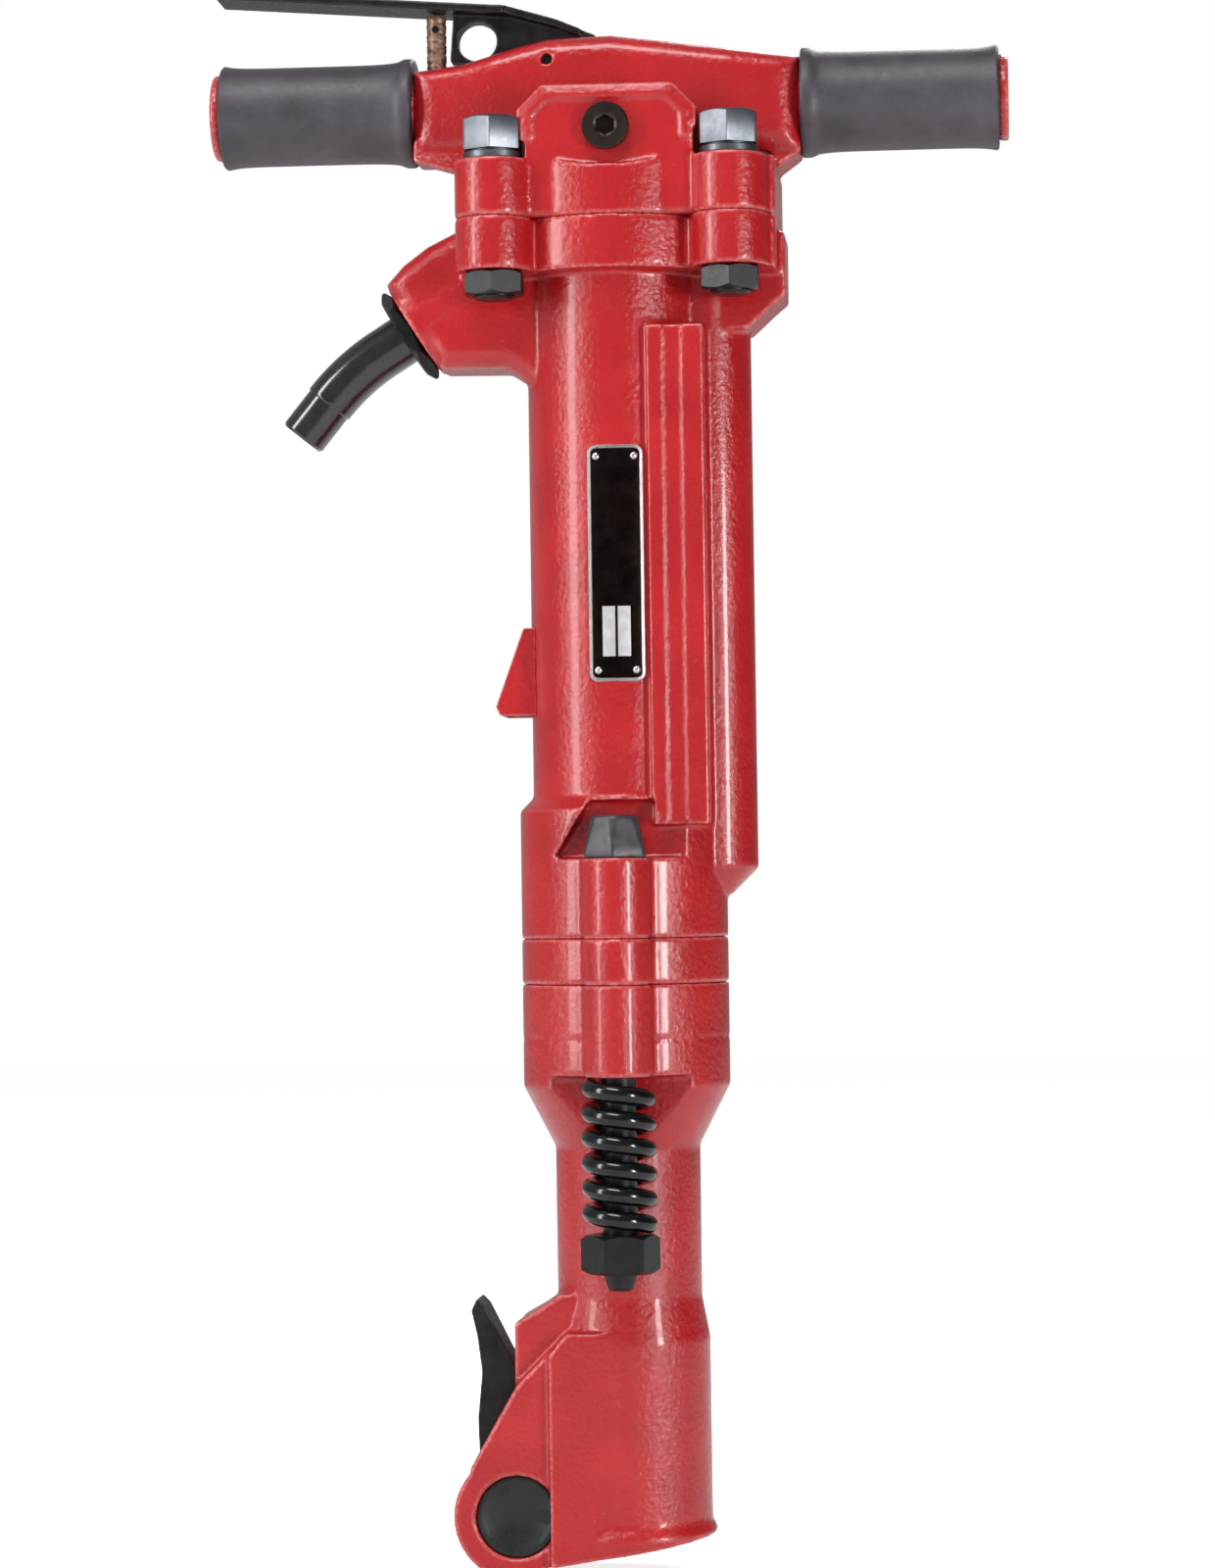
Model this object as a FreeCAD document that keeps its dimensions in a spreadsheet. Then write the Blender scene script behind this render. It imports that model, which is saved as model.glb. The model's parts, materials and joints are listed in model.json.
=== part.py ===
import FreeCAD, Part
import math
import os
import re
import Sketcher

# Pneumatic paving breaker, millimetres, +Z up, handle along X, front towards -Y.
# The origin is on the tool's axis, level with the lowest point of the nose.

V = FreeCAD.Vector

# Driving sizes: name and value
SIZES = (
    # Gaps
    ("fit_gap", 0.05),
    ("seat_gap", 0.1),
    ("moving_gap", 0.3),
    ("overrun", 3.0),
    # Front head
    ("fronthead_length", 261.2),
    ("head_radius", 46.0),
    ("head_skirt", 45.0),
    ("taper_height", 27.0),
    ("neck_radius", 32.2),
    ("nose_height", 104.0),
    ("nose_shoulder", 18.0),
    ("nose_radius", 35.6),
    ("lip_radius", 38.0),
    ("lip_height", 24.0),
    ("rim_low", 5.3),
    ("rim_high", 17.8),
    ("lip_rise", 1.0),
    ("lip_blend", 6.0),
    ("nose_flat_left", 33.7),
    ("nose_flat_half", 35.0),
    ("nose_flat_corner", 99.0),
    ("collar_cavity_radius", 28.0),
    ("collar_cavity_depth", 58.0),
    ("groove_height", 25.0),
    ("groove_width", 1.6),
    ("groove_depth", 1.2),
    # Side rods and their springs
    ("rod_offset", 50.0),
    ("rod_radius", 8.0),
    ("rod_hole_radius", 8.5),
    ("rod_head_across", 26.0),
    ("rod_head_height", 18.7),
    ("rod_dome_low", 2.0),
    ("rod_dome_share", 0.78),
    ("rod_end", 7.5),
    ("rod_tip_radius", 5.5),
    ("lug_radius", 14.8),
    ("lug_height", 39.9),
    ("window_half_width", 31.0),
    ("spring_wire", 8.0),
    ("spring_mean_radius", 12.6),
    ("spring_pitch", 12.952381),
    ("rod_nut_across", 30.0),
    ("rod_nut_turn", 10.0),
    ("rod_nut_height", 17.0),
    ("rod_nut_rise", 14.3),
    # Chuck bushing and anvil
    ("socket_across", 32.4),
    ("mouth_inset", 1.0),
    ("chuck_radius", 24.0),
    ("chuck_flange_radius", 31.0),
    ("chuck_flange_height", 10.0),
    ("chuck_seat_depth", 31.2),
    ("socket_drop", 8.0),
    ("anvil_tip_radius", 15.8),
    ("anvil_tip_drop", 12.0),
    ("anvil_tip_length", 7.0),
    ("anvil_shank_radius", 18.6),
    ("anvil_radius", 23.9),
    ("anvil_body_length", 26.0),
    ("anvil_neck_radius", 16.5),
    ("anvil_neck_length", 32.0),
    ("anvil_travel", 10.0),
    ("anvil_edge", 2.0),
    # Anvil housing
    ("spacer_thickness", 20.5),
    ("spigot_radius", 33.0),
    ("lower_spigot", 20.0),
    ("upper_spigot", 16.5),
    # Cylinder
    ("cylinder_length", 316.3),
    ("bore_radius", 29.0),
    ("barrel_radius", 40.0),
    ("collar_height", 62.5),
    ("ledge_height", 34.9),
    ("pocket_height", 25.5),
    ("pocket_left", 28.0),
    ("pocket_lean", 16.0),
    ("pocket_step", 1.0),
    ("flange_thickness", 23.0),
    ("flange_core_radius", 52.0),
    ("bolt_half_x", 52.0),
    ("bolt_half_y", 40.0),
    ("bolt_shift", 1.4),
    ("flange_right", 73.4),
    ("flange_side_inset", 3.0),
    ("corner_radius", 17.0),
    ("bolt_radius", 9.0),
    ("bolt_hole_radius", 9.5),
    ("bolt_across", 27.0),
    ("bolt_head_height", 15.5),
    ("bolt_dome_low", 10.0),
    ("bolt_dome_share", 0.96),
    ("washer_radius", 14.5),
    ("washer_thickness", 3.5),
    ("nut_height", 13.0),
    ("nut_cup_radius", 16.0),
    ("duct_offset", 39.0),
    ("duct_radius", 21.0),
    ("duct_bottom", 30.3),
    ("duct_head_reach", 76.5),
    ("duct_head_drop", 10.0),
    ("duct_head_height", 28.0),
    ("duct_head_taper", 14.7),
    ("duct_head_bend", 70.5),
    ("duct_head_slope", 5.0),
    ("duct_head_inset", 2.0),
    ("duct_foot_height", 12.0),
    ("duct_foot_radius", 9.0),
    ("rib_left", 16.0),
    ("rib_right", 41.0),
    ("rib_front", 41.6),
    ("rib_bottom", 49.5),
    ("rib_top_drop", 47.5),
    ("rib_groove_left", 22.6),
    ("rib_groove_width", 9.0),
    ("rib_groove_depth", 1.2),
    ("chest_radius", 34.0),
    ("chest_depth", 48.0),
    ("exhaust_radius", 9.0),
    ("exhaust_height", 116.0),
    ("hood_height", 44.0),
    ("hood_reach", 15.2),
    ("hood_half_width", 15.0),
    ("hood_wall", 3.0),
    ("hood_slope_height", 34.0),
    ("hood_lip", 2.0),
    ("hood_lip_height", 4.0),
    ("hood_crown", 2.5),
    ("hood_floor_rise", 3.0),
    # Piston
    ("piston_head_length", 40.0),
    ("piston_stem_radius", 20.0),
    ("piston_stem_length", 50.0),
    ("piston_edge", 1.5),
    # Valve chest
    ("valve_seat_thickness", 10.0),
    ("chest_height", 20.0),
    ("chamber_radius", 22.0),
    ("chamber_depth", 10.0),
    ("distributor_radius", 20.0),
    ("distributor_thickness", 5.0),
    ("distributor_stem_radius", 6.0),
    ("distributor_travel", 2.5),
    ("port_radius", 4.0),
    ("port_circle", 27.0),
    ("dowel_radius", 2.5),
    ("dowel_length", 24.0),
    # Air inlet
    ("inlet_face_x", 90.5),
    ("inlet_face_drop", 43.6),
    ("inlet_drop_angle", 32.0),
    ("inlet_radius", 22.8),
    ("elbow_half_width", 22.0),
    ("elbow_edge", 9.0),
    ("elbow_setback", 1.5),
    ("elbow_top_x", 68.0),
    ("elbow_crown_x", 83.2),
    ("elbow_crown_drop", 7.5),
    ("elbow_brow_x", 94.0),
    ("elbow_brow_drop", 15.5),
    ("elbow_floor", 19.0),
    ("elbow_throat_x", 48.5),
    ("elbow_throat_drop", 4.5),
    ("elbow_throat_height", 32.0),
    ("inlet_reach", 62.0),
    ("inlet_bore_radius", 12.0),
    ("inlet_bore_depth", 50.0),
    ("swivel_thread_radius", 16.5),
    ("swivel_thread_length", 14.0),
    ("swivel_nut_radius", 22.9),
    ("swivel_nut_thickness", 6.0),
    ("swivel_nut_edge", 1.0),
    ("nipple_radius", 11.2),
    ("nipple_end_radius", 10.5),
    ("nipple_bore_radius", 7.5),
    ("nipple_collar_radius", 14.5),
    ("nipple_collar_length", 3.0),
    ("nipple_straight", 17.5),
    ("nipple_bend_radius", 100.0),
    ("nipple_bend_angle", 19.0),
    ("nipple_end_length", 20.0),
    ("seal_width", 2.5),
    ("seal_length", 3.0),
    ("strainer_length", 26.0),
    ("strainer_wall", 1.2),
    ("strainer_tip_radius", 5.0),
    ("passage_radius", 6.0),
    ("cross_passage_radius", 5.0),
    ("passage_x", 52.0),
    # Backhead
    ("backhead_flange", 26.0),
    ("handle_rise", 55.0),
    ("casting_left", 89.0),
    ("casting_right", 84.0),
    ("handle_left", 180.3),
    ("handle_right", 176.3),
    ("handle_end_height", 23.5),
    ("handle_top_rise", 31.0),
    ("handle_crown_half", 30.0),
    ("crown_reach", 20.0),
    ("crown_rise", 4.0),
    ("crown_drop", 2.0),
    ("crown_right_drop", 1.2),
    ("gusset_half", 16.0),
    ("gusset_drop", 2.0),
    ("handle_depth_half", 23.0),
    ("handle_edge", 10.0),
    ("handle_bar_radius", 17.0),
    ("handle_knob_radius", 19.2),
    ("handle_knob_length", 4.0),
    ("pad_half_width", 39.5),
    ("pad_front", 46.0),
    ("pad_rise", 29.0),
    ("pad_chamfer", 11.0),
    ("pad_edge", 3.0),
    ("grip_radius", 22.0),
    ("grip_flange_radius", 24.4),
    ("grip_flange_width", 6.0),
    ("grip_edge", 1.0),
    ("grip_root_short", 2.0),
    ("grip_root_long", 8.0),
    ("grip_mouth_edge", 2.0),
    ("grip_flare", 1.4),
    ("grip_flare_width", 5.0),
    # Oil plug
    ("oil_plug_rise", 13.0),
    ("oil_plug_radius", 10.3),
    ("oil_plug_head", 4.0),
    ("oil_thread_radius", 7.0),
    ("oil_thread_length", 12.0),
    ("oil_seal_thickness", 1.5),
    ("oil_seal_inset", 1.0),
    ("oil_socket_across", 8.0),
    ("oil_socket_depth", 6.0),
    ("oil_chamber_radius", 6.0),
    ("oil_chamber_depth", 30.0),
    # Throttle
    ("lever_pivot_x", 28.0),
    ("lever_pivot_rise", 19.0),
    ("lever_pin_radius", 2.5),
    ("lever_half_width", 5.0),
    ("blade_half_width", 13.0),
    ("lever_length", 150.0),
    ("blade_tip_rise", 33.1),
    ("blade_root_rise", 23.0),
    ("blade_tip_thickness", 3.5),
    ("blade_root_thickness", 3.5),
    ("blade_root_reach", 20.0),
    ("lever_boss_radius", 8.0),
    ("lever_eye_reach", 32.7),
    ("lever_eye_rise", 12.0),
    ("lever_eye_radius", 8.8),
    ("lever_nose_radius", 2.0),
    ("lever_nose_rise", 24.6),
    ("leg_top_gap", 3.6),
    ("leg_bottom_gap", 1.9),
    ("leg_bottom_rise", 3.0),
    ("leg_heel", 6.0),
    ("lever_tail_reach", 20.5),
    ("lever_tail_low", 7.5),
    ("lever_tail_high", 13.4),
    ("lever_brow_reach", 2.8),
    ("lever_brow_rise", 20.4),
    ("lever_heel_drop", 3.0),
    ("slot_left_reach", 22.0),
    ("slot_right_reach", 24.0),
    ("rod_reach", 51.5),
    ("lever_angle", 8.0),
    ("push_rod_radius", 4.6),
    ("push_rod_edge", 0.8),
    ("trigger_pocket_depth", 10.0),
    ("trigger_pocket_half_width", 6.8),
    ("valve_bore_radius", 8.0),
    ("throttle_plug_length", 7.0),
    ("throttle_plug_across", 11.0),
    ("throttle_spring_length", 12.0),
    ("throttle_spring_wire", 1.0),
    ("throttle_spring_radius", 5.0),
    ("poppet_radius", 7.0),
    ("poppet_height", 4.0),
    ("poppet_stem_radius", 3.2),
    ("throttle_seat_length", 8.0),
    # Retainer
    ("retainer_x", 48.9),
    ("retainer_height", 28.0),
    ("boss_radius", 28.0),
    ("cheek_half_width", 31.0),
    ("latch_half_width", 13.2),
    ("latch_slot_radius", 27.6),
    ("latch_hub_radius", 17.0),
    ("latch_lobe_radius", 26.8),
    ("latch_root_inset", 2.0),
    ("latch_low_rise", 30.0),
    ("latch_waist_rise", 62.0),
    ("latch_neck_reach", 8.0),
    ("latch_neck_rise", 77.0),
    ("latch_brow_reach", 15.0),
    ("latch_brow_rise", 91.0),
    ("latch_tip_reach", 18.5),
    ("latch_tip_rise", 94.5),
    ("latch_nose_reach", 21.0),
    ("latch_nose_rise", 89.0),
    ("latch_nape_reach", 18.5),
    ("latch_nape_rise", 78.0),
    ("latch_waist_reach", 16.5),
    ("latch_belly_reach", 18.5),
    ("latch_belly_rise", 42.0),
    ("latch_heel_reach", 18.0),
    ("latch_heel_rise", 20.0),
    ("latch_foot_reach", 16.0),
    ("lobe_start_angle", 8.0),
    ("lobe_end_angle", 42.0),
    ("retainer_pin_radius", 7.0),
    ("plug_radius", 18.0),
    ("plug_thickness", 6.0),
    ("plug_recess", 2.0),
    ("box_left", 49.6),
    ("blade_slot_depth", 1.0),
    ("box_top", 112.4),
    ("box_half_width", 24.0),
    ("box_slope", 10.0),
    ("box_crown", 5.6),
    ("box_depth", 30.0),
    ("cheek_back", 26.0),
    ("cheek_drop", 4.0),
    ("cheek_step", 1.0),
    ("boss_lean", 20.6),
    ("boss_shoulder", 21.0),
    ("plunger_radius", 2.5),
    ("plunger_length", 16.0),
    ("plunger_offset", 3.0),
    ("retainer_spring_length", 10.0),
    ("retainer_spring_wire", 0.7),
    # Nameplate
    ("plate_width", 25.0),
    ("plate_height", 104.0),
    ("plate_thickness", 1.0),
    ("plate_base", 112.3),
    ("plate_centre_x", 1.4),
    ("plate_corner", 4.0),
    ("rivet_radius", 1.7),
    ("rivet_inset_x", 4.0),
    ("rivet_inset_z", 5.0),
    ("rivet_depth", 2.0),
    ("rivet_sink", 2.2),
)

# Worked out levels and places: name and sum
PLACES = (
    ("spacer_base", "fronthead_length"),
    ("cylinder_base", "fronthead_length + spacer_thickness"),
    ("cylinder_top", "cylinder_base + cylinder_length"),
    ("flange_base", "cylinder_top - flange_thickness"),
    ("backhead_seat", "cylinder_top + backhead_flange"),
    ("handle_height", "cylinder_top + handle_rise"),
    ("handle_top", "handle_height + handle_top_rise"),
    ("head_base", "fronthead_length - head_skirt"),
    ("taper_base", "head_base - taper_height"),
    ("neck_base", "nose_height + nose_shoulder"),
    ("shelf_height", "fronthead_length - lug_height"),
    ("window_back", "rod_offset - spring_mean_radius - spring_wire / 2 - seat_gap * 4"),
    ("web_root", "spigot_radius + overrun"),
    ("ledge_top", "cylinder_base + ledge_height"),
    ("pocket_back", "rod_offset - rod_head_across / 2 / cos(30 deg) - seat_gap * 4"),
    ("nut_base", "neck_base + rod_nut_rise"),
    ("nut_top", "nut_base + rod_nut_height"),
    ("spring_length", "shelf_height - nut_top"),
    ("rod_bottom", "nut_base - rod_end"),
    ("chuck_seat_height", "fronthead_length - chuck_seat_depth"),
    ("socket_height", "chuck_seat_height - socket_drop"),
    ("anvil_tip_height", "chuck_seat_height - anvil_tip_drop"),
    ("chuck_top", "chuck_seat_height + chuck_flange_height"),
    ("anvil_body_base", "chuck_top + moving_gap"),
    ("anvil_shoulder", "anvil_body_base + anvil_body_length"),
    ("anvil_stop", "anvil_shoulder + anvil_travel + moving_gap"),
    ("anvil_top", "anvil_shoulder + anvil_neck_length"),
    ("piston_base", "anvil_top + anvil_travel + moving_gap"),
    ("piston_head_base", "piston_base + piston_stem_length"),
    ("chest_base", "cylinder_top - chest_depth"),
    ("valve_chest_base", "chest_base + valve_seat_thickness + seat_gap"),
    ("valve_cap_base", "valve_chest_base + chest_height + seat_gap"),
    ("distributor_base", "valve_chest_base + moving_gap"),
    ("inlet_height", "cylinder_top - inlet_face_drop"),
    ("lever_pivot_height", "handle_height + lever_pivot_rise"),
    ("push_rod_x", "lever_pivot_x + rod_reach"),
    ("push_rod_top", "lever_pivot_height + lever_nose_rise - seat_gap"),
    ("pocket_floor", "handle_height + handle_end_height - trigger_pocket_depth"),
    ("valve_bore_base", "handle_height - handle_end_height"),
    ("poppet_base", "valve_bore_base + throttle_plug_length + throttle_spring_length"),
    ("throttle_seat_base", "poppet_base + poppet_height + moving_gap"),
    ("oil_plug_height", "backhead_seat + oil_plug_rise"),
    ("bolt_length", "backhead_flange + flange_thickness"),
    ("bolt_head_base", "backhead_seat + washer_thickness + seat_gap * 2"),
    ("hood_base", "cylinder_base + exhaust_height - hood_slope_height / 2"),
    ("plate_low", "cylinder_base + plate_base"),
)

doc = FreeCAD.newDocument("PavingBreaker")
sheet = doc.addObject("Spreadsheet::Sheet", "Sizes")
NAMES = set()


def fill_sheet():
    """Write the driving sizes as plain numbers and the worked out places as sums."""
    row = 0
    for name, value in SIZES:
        row += 1
        sheet.set(f"A{row}", name)
        sheet.set(f"B{row}", repr(value))
        sheet.setAlias(f"B{row}", name)
        NAMES.add(name)
    for name, total in PLACES:
        row += 1
        sheet.set(f"A{row}", name)
        sheet.set(f"B{row}", "=" + total)
        sheet.setAlias(f"B{row}", name)
        NAMES.add(name)
    doc.recompute()


fill_sheet()


def size(name):
    """One size as a number."""
    return float(sheet.get(name))


def named(text):
    """A sum of size names, as an expression on the sheet."""
    return re.sub(r"[a-z][a-z0-9_]*", lambda m: ("Sizes." if m.group(0) in NAMES else "") + m.group(0), text)


def bind(item, **values):
    """Bind each property of an item to a sum of size names."""
    for prop, text in values.items():
        item.setExpression(prop, named(text))


def place(item, x="0", y="0", z="0"):
    """Bind an item's place to sums of size names."""
    item.setExpression("Placement.Base.x", named(x))
    item.setExpression("Placement.Base.y", named(y))
    item.setExpression("Placement.Base.z", named(z))


TURNS = {
    "z": FreeCAD.Rotation(V(0, 1, 0), 0),
    "x": FreeCAD.Rotation(V(0, 1, 0), 90),
    "-x": FreeCAD.Rotation(V(0, 1, 0), -90),
    "y": FreeCAD.Rotation(V(1, 0, 0), -90),
    "-y": FreeCAD.Rotation(V(1, 0, 0), 90),
}


def rod(name, radius, length, x="0", y="0", z="0", along="z"):
    """A plain cylinder along one axis."""
    item = doc.addObject("Part::Cylinder", name)
    item.Placement = FreeCAD.Placement(V(), TURNS[along])
    bind(item, Radius=radius, Height=length)
    place(item, x, y, z)
    return item


def cone(name, low, high, length, x="0", y="0", z="0", along="z"):
    """A cone from radius low to radius high."""
    item = doc.addObject("Part::Cone", name)
    item.Placement = FreeCAD.Placement(V(), TURNS[along])
    bind(item, Radius1=low, Radius2=high, Height=length)
    place(item, x, y, z)
    return item


def block(name, x0, x1, y0, y1, z0, z1):
    """A box between two corners."""
    item = doc.addObject("Part::Box", name)
    bind(item, Length=f"({x1}) - ({x0})", Width=f"({y1}) - ({y0})", Height=f"({z1}) - ({z0})")
    place(item, x0, y0, z0)
    return item


def hexagon(name, across, length, x="0", y="0", z="0", along="z", turn=0):
    """A six-sided bar, sized across its flats."""
    item = doc.addObject("Part::Prism", name)
    item.Polygon = 6
    item.Placement = FreeCAD.Placement(V(), TURNS[along].multiply(FreeCAD.Rotation(V(0, 0, 1), turn)))
    bind(item, Circumradius=f"({across}) / 2 / cos(30 deg)", Height=length)
    place(item, x, y, z)
    return item


def joined(name, *items):
    """Several solids fused into one."""
    item = doc.addObject("Part::MultiFuse", name)
    item.Shapes = list(items)
    item.Refine = True
    return item


def less(name, base, *tools):
    """A solid with other solids cut out of it."""
    tool = tools[0]
    if len(tools) > 1:
        tool = doc.addObject("Part::MultiFuse", name + "Tools")
        tool.Shapes = list(tools)
    item = doc.addObject("Part::Cut", name)
    item.Base = base
    item.Tool = tool
    item.Refine = True
    return item


def shared(name, base, tool):
    """What two solids have in common."""
    item = doc.addObject("Part::Common", name)
    item.Base = base
    item.Tool = tool
    item.Refine = True
    return item


def outline(body, plane, points, name):
    """A closed sketch of straight lines, each corner bound to two sums."""
    sketch = body.newObject("Sketcher::SketchObject", name)
    sketch.AttachmentSupport = [(next(o for o in body.Origin.OriginFeatures if o.Role == plane), "")]
    sketch.MapMode = "FlatFace"
    count = len(points)
    corners = [V(math.cos(math.tau * i / count), math.sin(math.tau * i / count), 0) for i in range(count)]
    for i in range(count):
        sketch.addGeometry(Part.LineSegment(corners[i], corners[(i + 1) % count]), False)
    for i in range(count):
        sketch.addConstraint(Sketcher.Constraint("Coincident", i, 2, (i + 1) % count, 1))
    for i, (across, up) in enumerate(points):
        for kind, text in (("DistanceX", across), ("DistanceY", up)):
            number = sketch.addConstraint(Sketcher.Constraint(kind, -1, 1, i, 1, 1.0))
            sketch.setExpression(f"Constraints[{number}]", named(text))
    return sketch


def turned(name, *points):
    """A turned piece: an outline of radius and height, revolved about Z."""
    body = doc.addObject("PartDesign::Body", name)
    sketch = outline(body, "XZ_Plane", points, name + "Outline")
    spin = body.newObject("PartDesign::Revolution", name + "Turn")
    spin.Profile = sketch
    spin.ReferenceAxis = (sketch, ["V_Axis"])
    spin.Angle = 360
    return body


def slab(name, depth, *points, plane="XZ_Plane"):
    """An outline padded to both sides of its plane."""
    body = doc.addObject("PartDesign::Body", name)
    sketch = outline(body, plane, points, name + "Outline")
    pad = body.newObject("PartDesign::Pad", name + "Pad")
    pad.Profile = sketch
    pad.SideType = "Symmetric"
    bind(pad, Length=depth)
    return body


def softened(name, base, radius, chosen):
    """A body made from a solid, with the chosen edges rounded."""
    doc.recompute()
    body = doc.addObject("PartDesign::Body", name)
    body.BaseFeature = base
    doc.recompute()
    solid = body.Tip
    edges = [f"Edge{i}" for i, edge in enumerate(solid.Shape.Edges, 1) if chosen(edge)]
    fillet = body.newObject("PartDesign::Fillet", name + "Edges")
    fillet.Base = (solid, edges)
    bind(fillet, Radius=radius)
    doc.recompute()
    return body


PIECES = []


def piece(label, item):
    """Give a finished piece its name."""
    item.Label = label
    PIECES.append(item)
    return item


def plain(label, shapes):
    """A piece whose solids are made from sizes in this script."""
    item = doc.addObject("Part::Feature", label)
    item.Shape = Part.makeCompound(shapes) if len(shapes) > 1 else shapes[0]
    return piece(label, item)


def four_corners(name, make):
    """Four copies, one at each flange bolt."""
    items = []
    for i, (sx, sy) in enumerate((("-", "-"), ("", "-"), ("", ""), ("-", ""))):
        items.append(make(f"{name}{i}", f"{sx}bolt_half_x + bolt_shift", f"{sy}bolt_half_y"))
    return items


def two_rods(name, make):
    """Two copies, one on the front side rod and one on the rear."""
    return [make(name + "Front", "-rod_offset"), make(name + "Rear", "rod_offset")]


def group(name, items):
    """Separate solids kept as one piece."""
    item = doc.addObject("Part::Compound", name)
    item.Links = list(items)
    return item


def sleeve(name, radius, wire, length, x, y, z):
    """A hidden coil spring, kept as the plain sleeve that it fills."""
    return less(name, rod(name + "Out", f"({radius}) + {wire} / 2", length, x, y, z),
                rod(name + "In", f"({radius}) - {wire} / 2", f"{length} + overrun * 2", x, y,
                    f"{z} - overrun"))


def biarc(start, start_way, end, end_way):
    """Two arcs that join two points with given directions."""
    gap = end - start
    ways = start_way + end_way
    spread = 2 * (1 - start_way.dot(end_way))
    reach = (-gap.dot(ways) + math.sqrt(gap.dot(ways) ** 2 + spread * gap.dot(gap))) / spread
    middle = (start + end + (start_way - end_way) * reach) / 2
    arcs = []
    for a, b, way in ((start, middle, start_way), (middle, end, None)):
        chord = b - a
        along = V(chord).normalize()
        lead = way if way is not None else along * (2 * along.dot(end_way)) - end_way
        side = lead - along * lead.dot(along)
        bend = lead.getAngle(along)
        top = (a + b) / 2 + side.normalize() * (chord.Length / 2 * math.tan(bend / 2))
        arcs.append(Part.Arc(a, top, b).toShape())
    return arcs


def coil(x, y, low, length, radius, wire, turns):
    """One round wire wound left-handed as a spring between two levels."""
    rise = length - wire
    steps = max(4, round(turns * 4))
    points = []
    for i in range(steps + 1):
        angle = -math.tau * turns * i / steps
        level = low + wire / 2 + rise * i / steps
        spot = V(x + radius * math.cos(angle), y + radius * math.sin(angle), level)
        way = V(radius * math.sin(angle), -radius * math.cos(angle), rise / (math.tau * turns)).normalize()
        points.append((spot, way))
    edges = []
    for (a, way_a), (b, way_b) in zip(points, points[1:]):
        edges += biarc(a, way_a, b, way_b)
    path = Part.Wire(edges)
    section = Part.Wire([Part.Circle(points[0][0], points[0][1], wire / 2).toShape()])
    pipe = Part.BRepOffsetAPI.MakePipeShell(path)
    pipe.add(section)
    pipe.build()
    pipe.makeSolid()
    gap = rise / turns - wire
    print(f"spring of {turns} turns: gap between turns {gap:.2f} mm, wire volume check "
          f"{pipe.shape().Volume / (path.Length * math.pi * wire ** 2 / 4):.4f}")
    return pipe.shape()


def half_disc(name, radius, thickness, y, gap):
    """A disc on the retainer pin's axis, flattened where the nose stands in front of it."""
    return less(name, rod(name + "Disc", radius, thickness, "-retainer_x", y, "retainer_height", "y"),
                block(name + "Flat", f"-nose_flat_left - ({gap})", "0", f"{y} - overrun",
                      f"{y} + {thickness} + overrun", "retainer_height - boss_radius",
                      "retainer_height + boss_radius"))


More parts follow.
